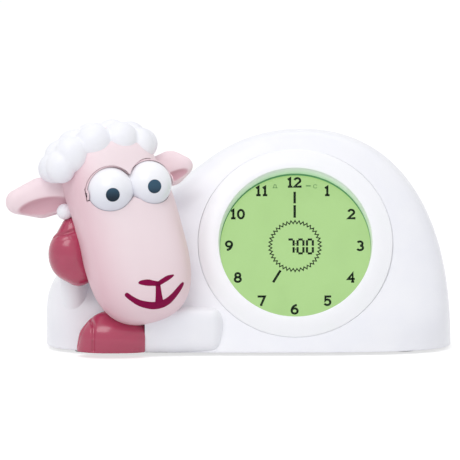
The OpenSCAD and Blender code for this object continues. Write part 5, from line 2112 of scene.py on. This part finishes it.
@dataclass
class Rear:
    """The service panel at the back with what it carries."""

    frame: Matrix
    panel: Flat = (130.0, 66.0)
    top: float = -1.6
    low: float = -3.8
    screw_at: Flat = (61.0, 29.0)
    button_first: float = -52.0
    button_pitch: float = 9.5
    button_row: float = -25.0
    button_r: float = 3.6
    buttons: int = 5
    speaker: Flat = (-27.0, 10.0)
    hole_r: float = 1.2
    hole_pitch: float = 5.0
    switch: Flat = (-54.0, -10.0)
    inlet: Flat = (-53.0, 16.0)
    door: Flat = (23.5, 0.0)
    door_size: Flat = (62.0, 50.0)
    lid_screw: float = 27.2
    cell_pitch: float = 15.0
    cell_z: float = -12.95
    cell_x: float = -2.6
    bay: float = 53.9

    def at(self, place: Flat, z: float = 0.0) -> Matrix:
        """The frame moved to a place on the panel."""
        return self.frame @ Matrix.Translation((place[0], place[1], z))

    def grille(self, maker: Maker) -> Shape:
        """The tools of the loudspeaker's holes, in the panel's frame."""
        r, wide = self.hole_r, self.hole_r + 0.35
        hole = turned([(r, -3.0), (r, -0.3), (wide, 0.05), (wide, 3.0)], 28, closed=False)
        pattern = Pattern(Layout.DISCS, hole, 3, self.hole_pitch)
        tools = pattern.grow("grille_tools", maker.finish(PANEL), Matrix())
        return Shape.taken(tools).moved((*self.speaker, self.top))

    def plate(self, maker: Maker) -> Shape:
        """The panel in its frame: a plate with soft edges and all its openings."""
        width, height = self.panel
        top = self.top
        plate = slab(width, height, self.low, top, 4.0, 0.35, 12)
        rim = [(4.9, top - 0.4), (4.9, top + 0.2), (4.7, top + 0.45), (4.2, top + 0.45), (4.2, top - 0.4)]
        for i in range(self.buttons):
            place = (self.button_first + i * self.button_pitch, self.button_row, 0)
            plate = plate.with_(turned(rim, 48).moved(place))
            plate = plate.less(rod(self.button_r + 0.12, -8, 4, 48).moved(place))
        plate = plate.less(self.grille(maker))
        plate = plate.less(slab(8, 3.2, -8, 4, 0.5, steps=4).moved((*self.switch, 0)))
        plate = plate.less(slab(11, 6, top - 0.45, 4, 1.0, steps=4).moved((*self.switch, 0)))
        plate = plate.less(rod(4.4, -8, 4, 64).moved((*self.inlet, 0)))
        width, height = (side + 0.6 for side in self.door_size)
        plate = plate.less(slab(width, height, -8, 4, 2.3).moved((*self.door, 0)))
        well = turned([(1.3, -8.0), (1.3, top - 1), (2.5, top - 1), (2.5, 4.0)], 48, closed=False)
        for x in (-1, 1):
            for y in (-1, 1):
                plate = plate.less(well.moved((x * self.screw_at[0], y * self.screw_at[1], 0)))
        return plate

    def lid(self) -> Shape:
        """The battery door in its own frame: soft edges, finger ribs' seat and the screw's well."""
        width, height = self.door_size
        lid = slab(width, height, -2.0, 0.0, 2.0, 0.4, 8)
        lid = lid.less(slab(14.4, 20.4, -0.6, 2.0, 1.6, steps=6).moved((-width / 2 + 11.8, 0, 0)))
        well = turned([(1.28, -6.0), (1.28, -1.0), (2.42, -1.0), (2.42, 4.0)], 48, closed=False)
        return lid.less(well.moved((self.lid_screw, 0, 0)))

    def springs(self, maker: Maker) -> bpy.types.Object:
        """The coil springs of the three cells, grown along a tapering spiral."""
        growth = Growth("battery_springs_growth")
        wire = {"Resolution": 8, "Radius": growth.ask("Wire radius", "Float", 0.3 * MM)}
        coil = growth.node(
            "GeometryNodeCurveSpiral",
            inputs={
                "Resolution": 28,
                "Rotations": growth.ask("Turns", "Float", 2.4),
                "Start Radius": growth.ask("Wide radius", "Float", 3.4 * MM),
                "End Radius": growth.ask("Narrow radius", "Float", 2.2 * MM),
                "Height": growth.ask("Height", "Float", 0.4 * MM),
            },
        )
        ring = growth.node("GeometryNodeCurvePrimitiveCircle", {"mode": "RADIUS"}, wire)
        swept = {"Curve": coil, "Profile Curve": ring, "Fill Caps": True}
        spring = growth.node("GeometryNodeCurveToMesh", inputs=swept)
        pitch = growth.ask("Pitch", "Float", self.cell_pitch * MM)
        reach = growth.ask("Reach", "Float", (self.bay / 2 - 0.9) * MM)
        index = growth.node("GeometryNodeInputIndex")
        middle = 1.0 - abs(index - 1.0)
        side = middle * 2.0 - 1.0
        place = growth.vector(side * reach, (index - 1.0) * pitch, 0.0)
        line = growth.line(3)
        points = growth.node("GeometryNodeSetPosition", inputs={"Geometry": line, "Position": place})
        made = growth.copies(points, spring, growth.vector(0.0, side * (-math.pi / 2), 0.0))
        frame = self.at((self.door[0] + self.cell_x, self.door[1]), self.cell_z)
        return growth.grow("coil_springs", made, maker.finish(CONTACT), frame)

    def build(self, maker: Maker) -> None:
        """Makes the panel, its door and what repeats, and dresses the rest."""
        plate = self.plate(maker).on(self.frame)
        maker.piece("service_panel", plate, PANEL, "panel_white", ["rear_panel"], sharp=32.0)
        door = {"body": "battery_door", "sharp": 32.0}
        lid = self.lid().on(self.at(self.door, self.top))
        maker.piece("door_plate", lid, PANEL, "panel_white", ["battery_door"], **door)
        ribs = Pattern(Layout.ROW, slab(1.1, 18.0, -0.65, -0.02, 0.5, 0.25, 4), 5, 2.4)
        place = self.at((self.door[0] - 19.2, 0), self.top)
        maker.grown("door_ribs", ribs, place, PANEL, "panel_white", **door)
        steel = {"finish": STEEL, "slot": "screw_steel", "sharp": 32.0}
        screws = Pattern(Layout.GRID, Screw(3.7).shape(), 4, 2 * self.screw_at[0], 2 * self.screw_at[1])
        place = self.at((0, 0), self.top - 1)
        maker.grown("panel_fasteners", screws, place, replaces=["panel_screws"], **steel)
        place = self.at((self.door[0] + self.lid_screw, 0), self.top - 1 + 0.03)
        screw = Screw(6.6, head_t=0.97).shape().on(place)
        maker.piece("door_fastener", screw, replaces=["door_screw"], body="door_screw", **steel)
        coils = self.springs(maker)
        maker.piece("coil_springs", coils, CONTACT, "contact_steel", ["battery_springs"], sharp=60.0)
        maker.dress(CAN, "speaker_frame", "switch_body")
        maker.dress(CONE, "speaker_cone")
        maker.dress(MAGNET, "speaker_magnet")
        maker.dress(INNER, "battery_box")
        maker.dress(CONTACT, "battery_plates", "inlet_pin")
        maker.dress(Wrapped(), "battery_cells")
        maker.dress(ALARM, "button_alarm")
        maker.dress(BUTTON, "button_light", "button_clock", "button_minus", "button_plus")
        maker.dress(KNOB, "switch_knob")
        maker.dress(INLET, "power_inlet")
        maker.dress(LED, "night_leds")


@dataclass
class Fixings:
    """The screws that hold the two shells and the base, and the rubber feet."""

    body: Body
    base_at: Sequence[Flat] = ((-66, -23), (94, -23), (-66, 53), (20, 50), (103, 49))
    base_seat: float = 3.0
    feet_at: Sequence[Flat] = ((-86, -13), (106, -9), (-86, 39), (106, 35))
    foot_r: float = 7.0
    foot_high: float = 2.6

    def foot(self) -> Shape:
        """A round foot with a soft rim, two grip rings and a hollow underneath."""
        r, high = self.foot_r, self.foot_high
        outline = [(0.02, 0.5), (2.2, 0.5), (2.5, 0.0), (3.5, 0.0), (3.7, 0.35), (4.1, 0.35), (4.3, 0.0)]
        outline += [(5.1, 0.0), (5.3, 0.35), (5.7, 0.35), (5.9, 0.0), (r - 0.5, 0.0), (r - 0.14, 0.15)]
        outline += [(r, 0.5), (r, high), (0.02, high)]
        return turned(outline, 48, closed=False)

    def build(self, maker: Maker) -> None:
        """Makes them where they repeat."""
        steel = {"finish": STEEL, "slot": "screw_steel", "sharp": 32.0}
        back = frame_of((0, self.body.screw_seat, 0), (-1, 0, 0), (0, 0, 1), (0, 1, 0))
        places = [(-x, z + self.body.rim, 0.0) for x, z in self.body.screws_at]
        long = Pattern(Layout.PLACES, Screw(24.0, head_t=1.6, pitch=1.2).shape(), places=places)
        maker.grown("shell_fasteners", long, back, replaces=["shell_screws"], **steel)
        under = frame_of((0, 0, self.base_seat), (1, 0, 0), (0, -1, 0), (0, 0, -1))
        places = [(x, -y, 0.0) for x, y in self.base_at]
        short = Pattern(Layout.PLACES, Screw(9.0).shape(), places=places)
        maker.grown("base_fasteners", short, under, replaces=["base_screws"], **steel)
        places = [(x, y, 0.0) for x, y in self.feet_at]
        feet = Pattern(Layout.PLACES, self.foot(), places=places)
        maker.grown("soft_feet", feet, Matrix(), RUBBER, "rubber", replaces=["rubber_feet"], sharp=40.0)


def main() -> None:
    """Builds the clock from its parts."""
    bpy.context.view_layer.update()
    maker = Maker()
    body = Body()
    Studio().build()
    body.build(maker)
    ClockFace(body.front()).build(maker)
    head = Head()
    head.build(maker)
    Wool(head).build(maker)
    left_hollow = ((-108.5, -46.8, 89.5), (18.5, 5.6, 7.0), -10)
    right_hollow = ((-33, -35.5, 106.6), (11.5, 4.4, 4.2), -24)
    Ear("left", (-99, -37, 97), (-127.2, -42, 93), 12.0, 7.6, *left_hollow).build(maker)
    Ear("right", (-43, -28, 110), (-27.4, -30, 113.4), 10.4, 6.0, *right_hollow).build(maker)
    Legs().build(maker)
    Rear(body.back()).build(maker)
    Fixings(body).build(maker)


logging.basicConfig(level=logging.INFO, format="%(name)s: %(message)s")
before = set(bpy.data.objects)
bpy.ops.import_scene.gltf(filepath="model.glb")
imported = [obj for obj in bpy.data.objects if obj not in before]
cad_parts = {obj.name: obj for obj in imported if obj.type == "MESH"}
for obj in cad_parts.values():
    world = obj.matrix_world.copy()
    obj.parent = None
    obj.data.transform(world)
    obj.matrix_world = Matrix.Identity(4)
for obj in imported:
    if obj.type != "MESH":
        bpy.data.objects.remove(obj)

if __name__ == "__main__":
    main()
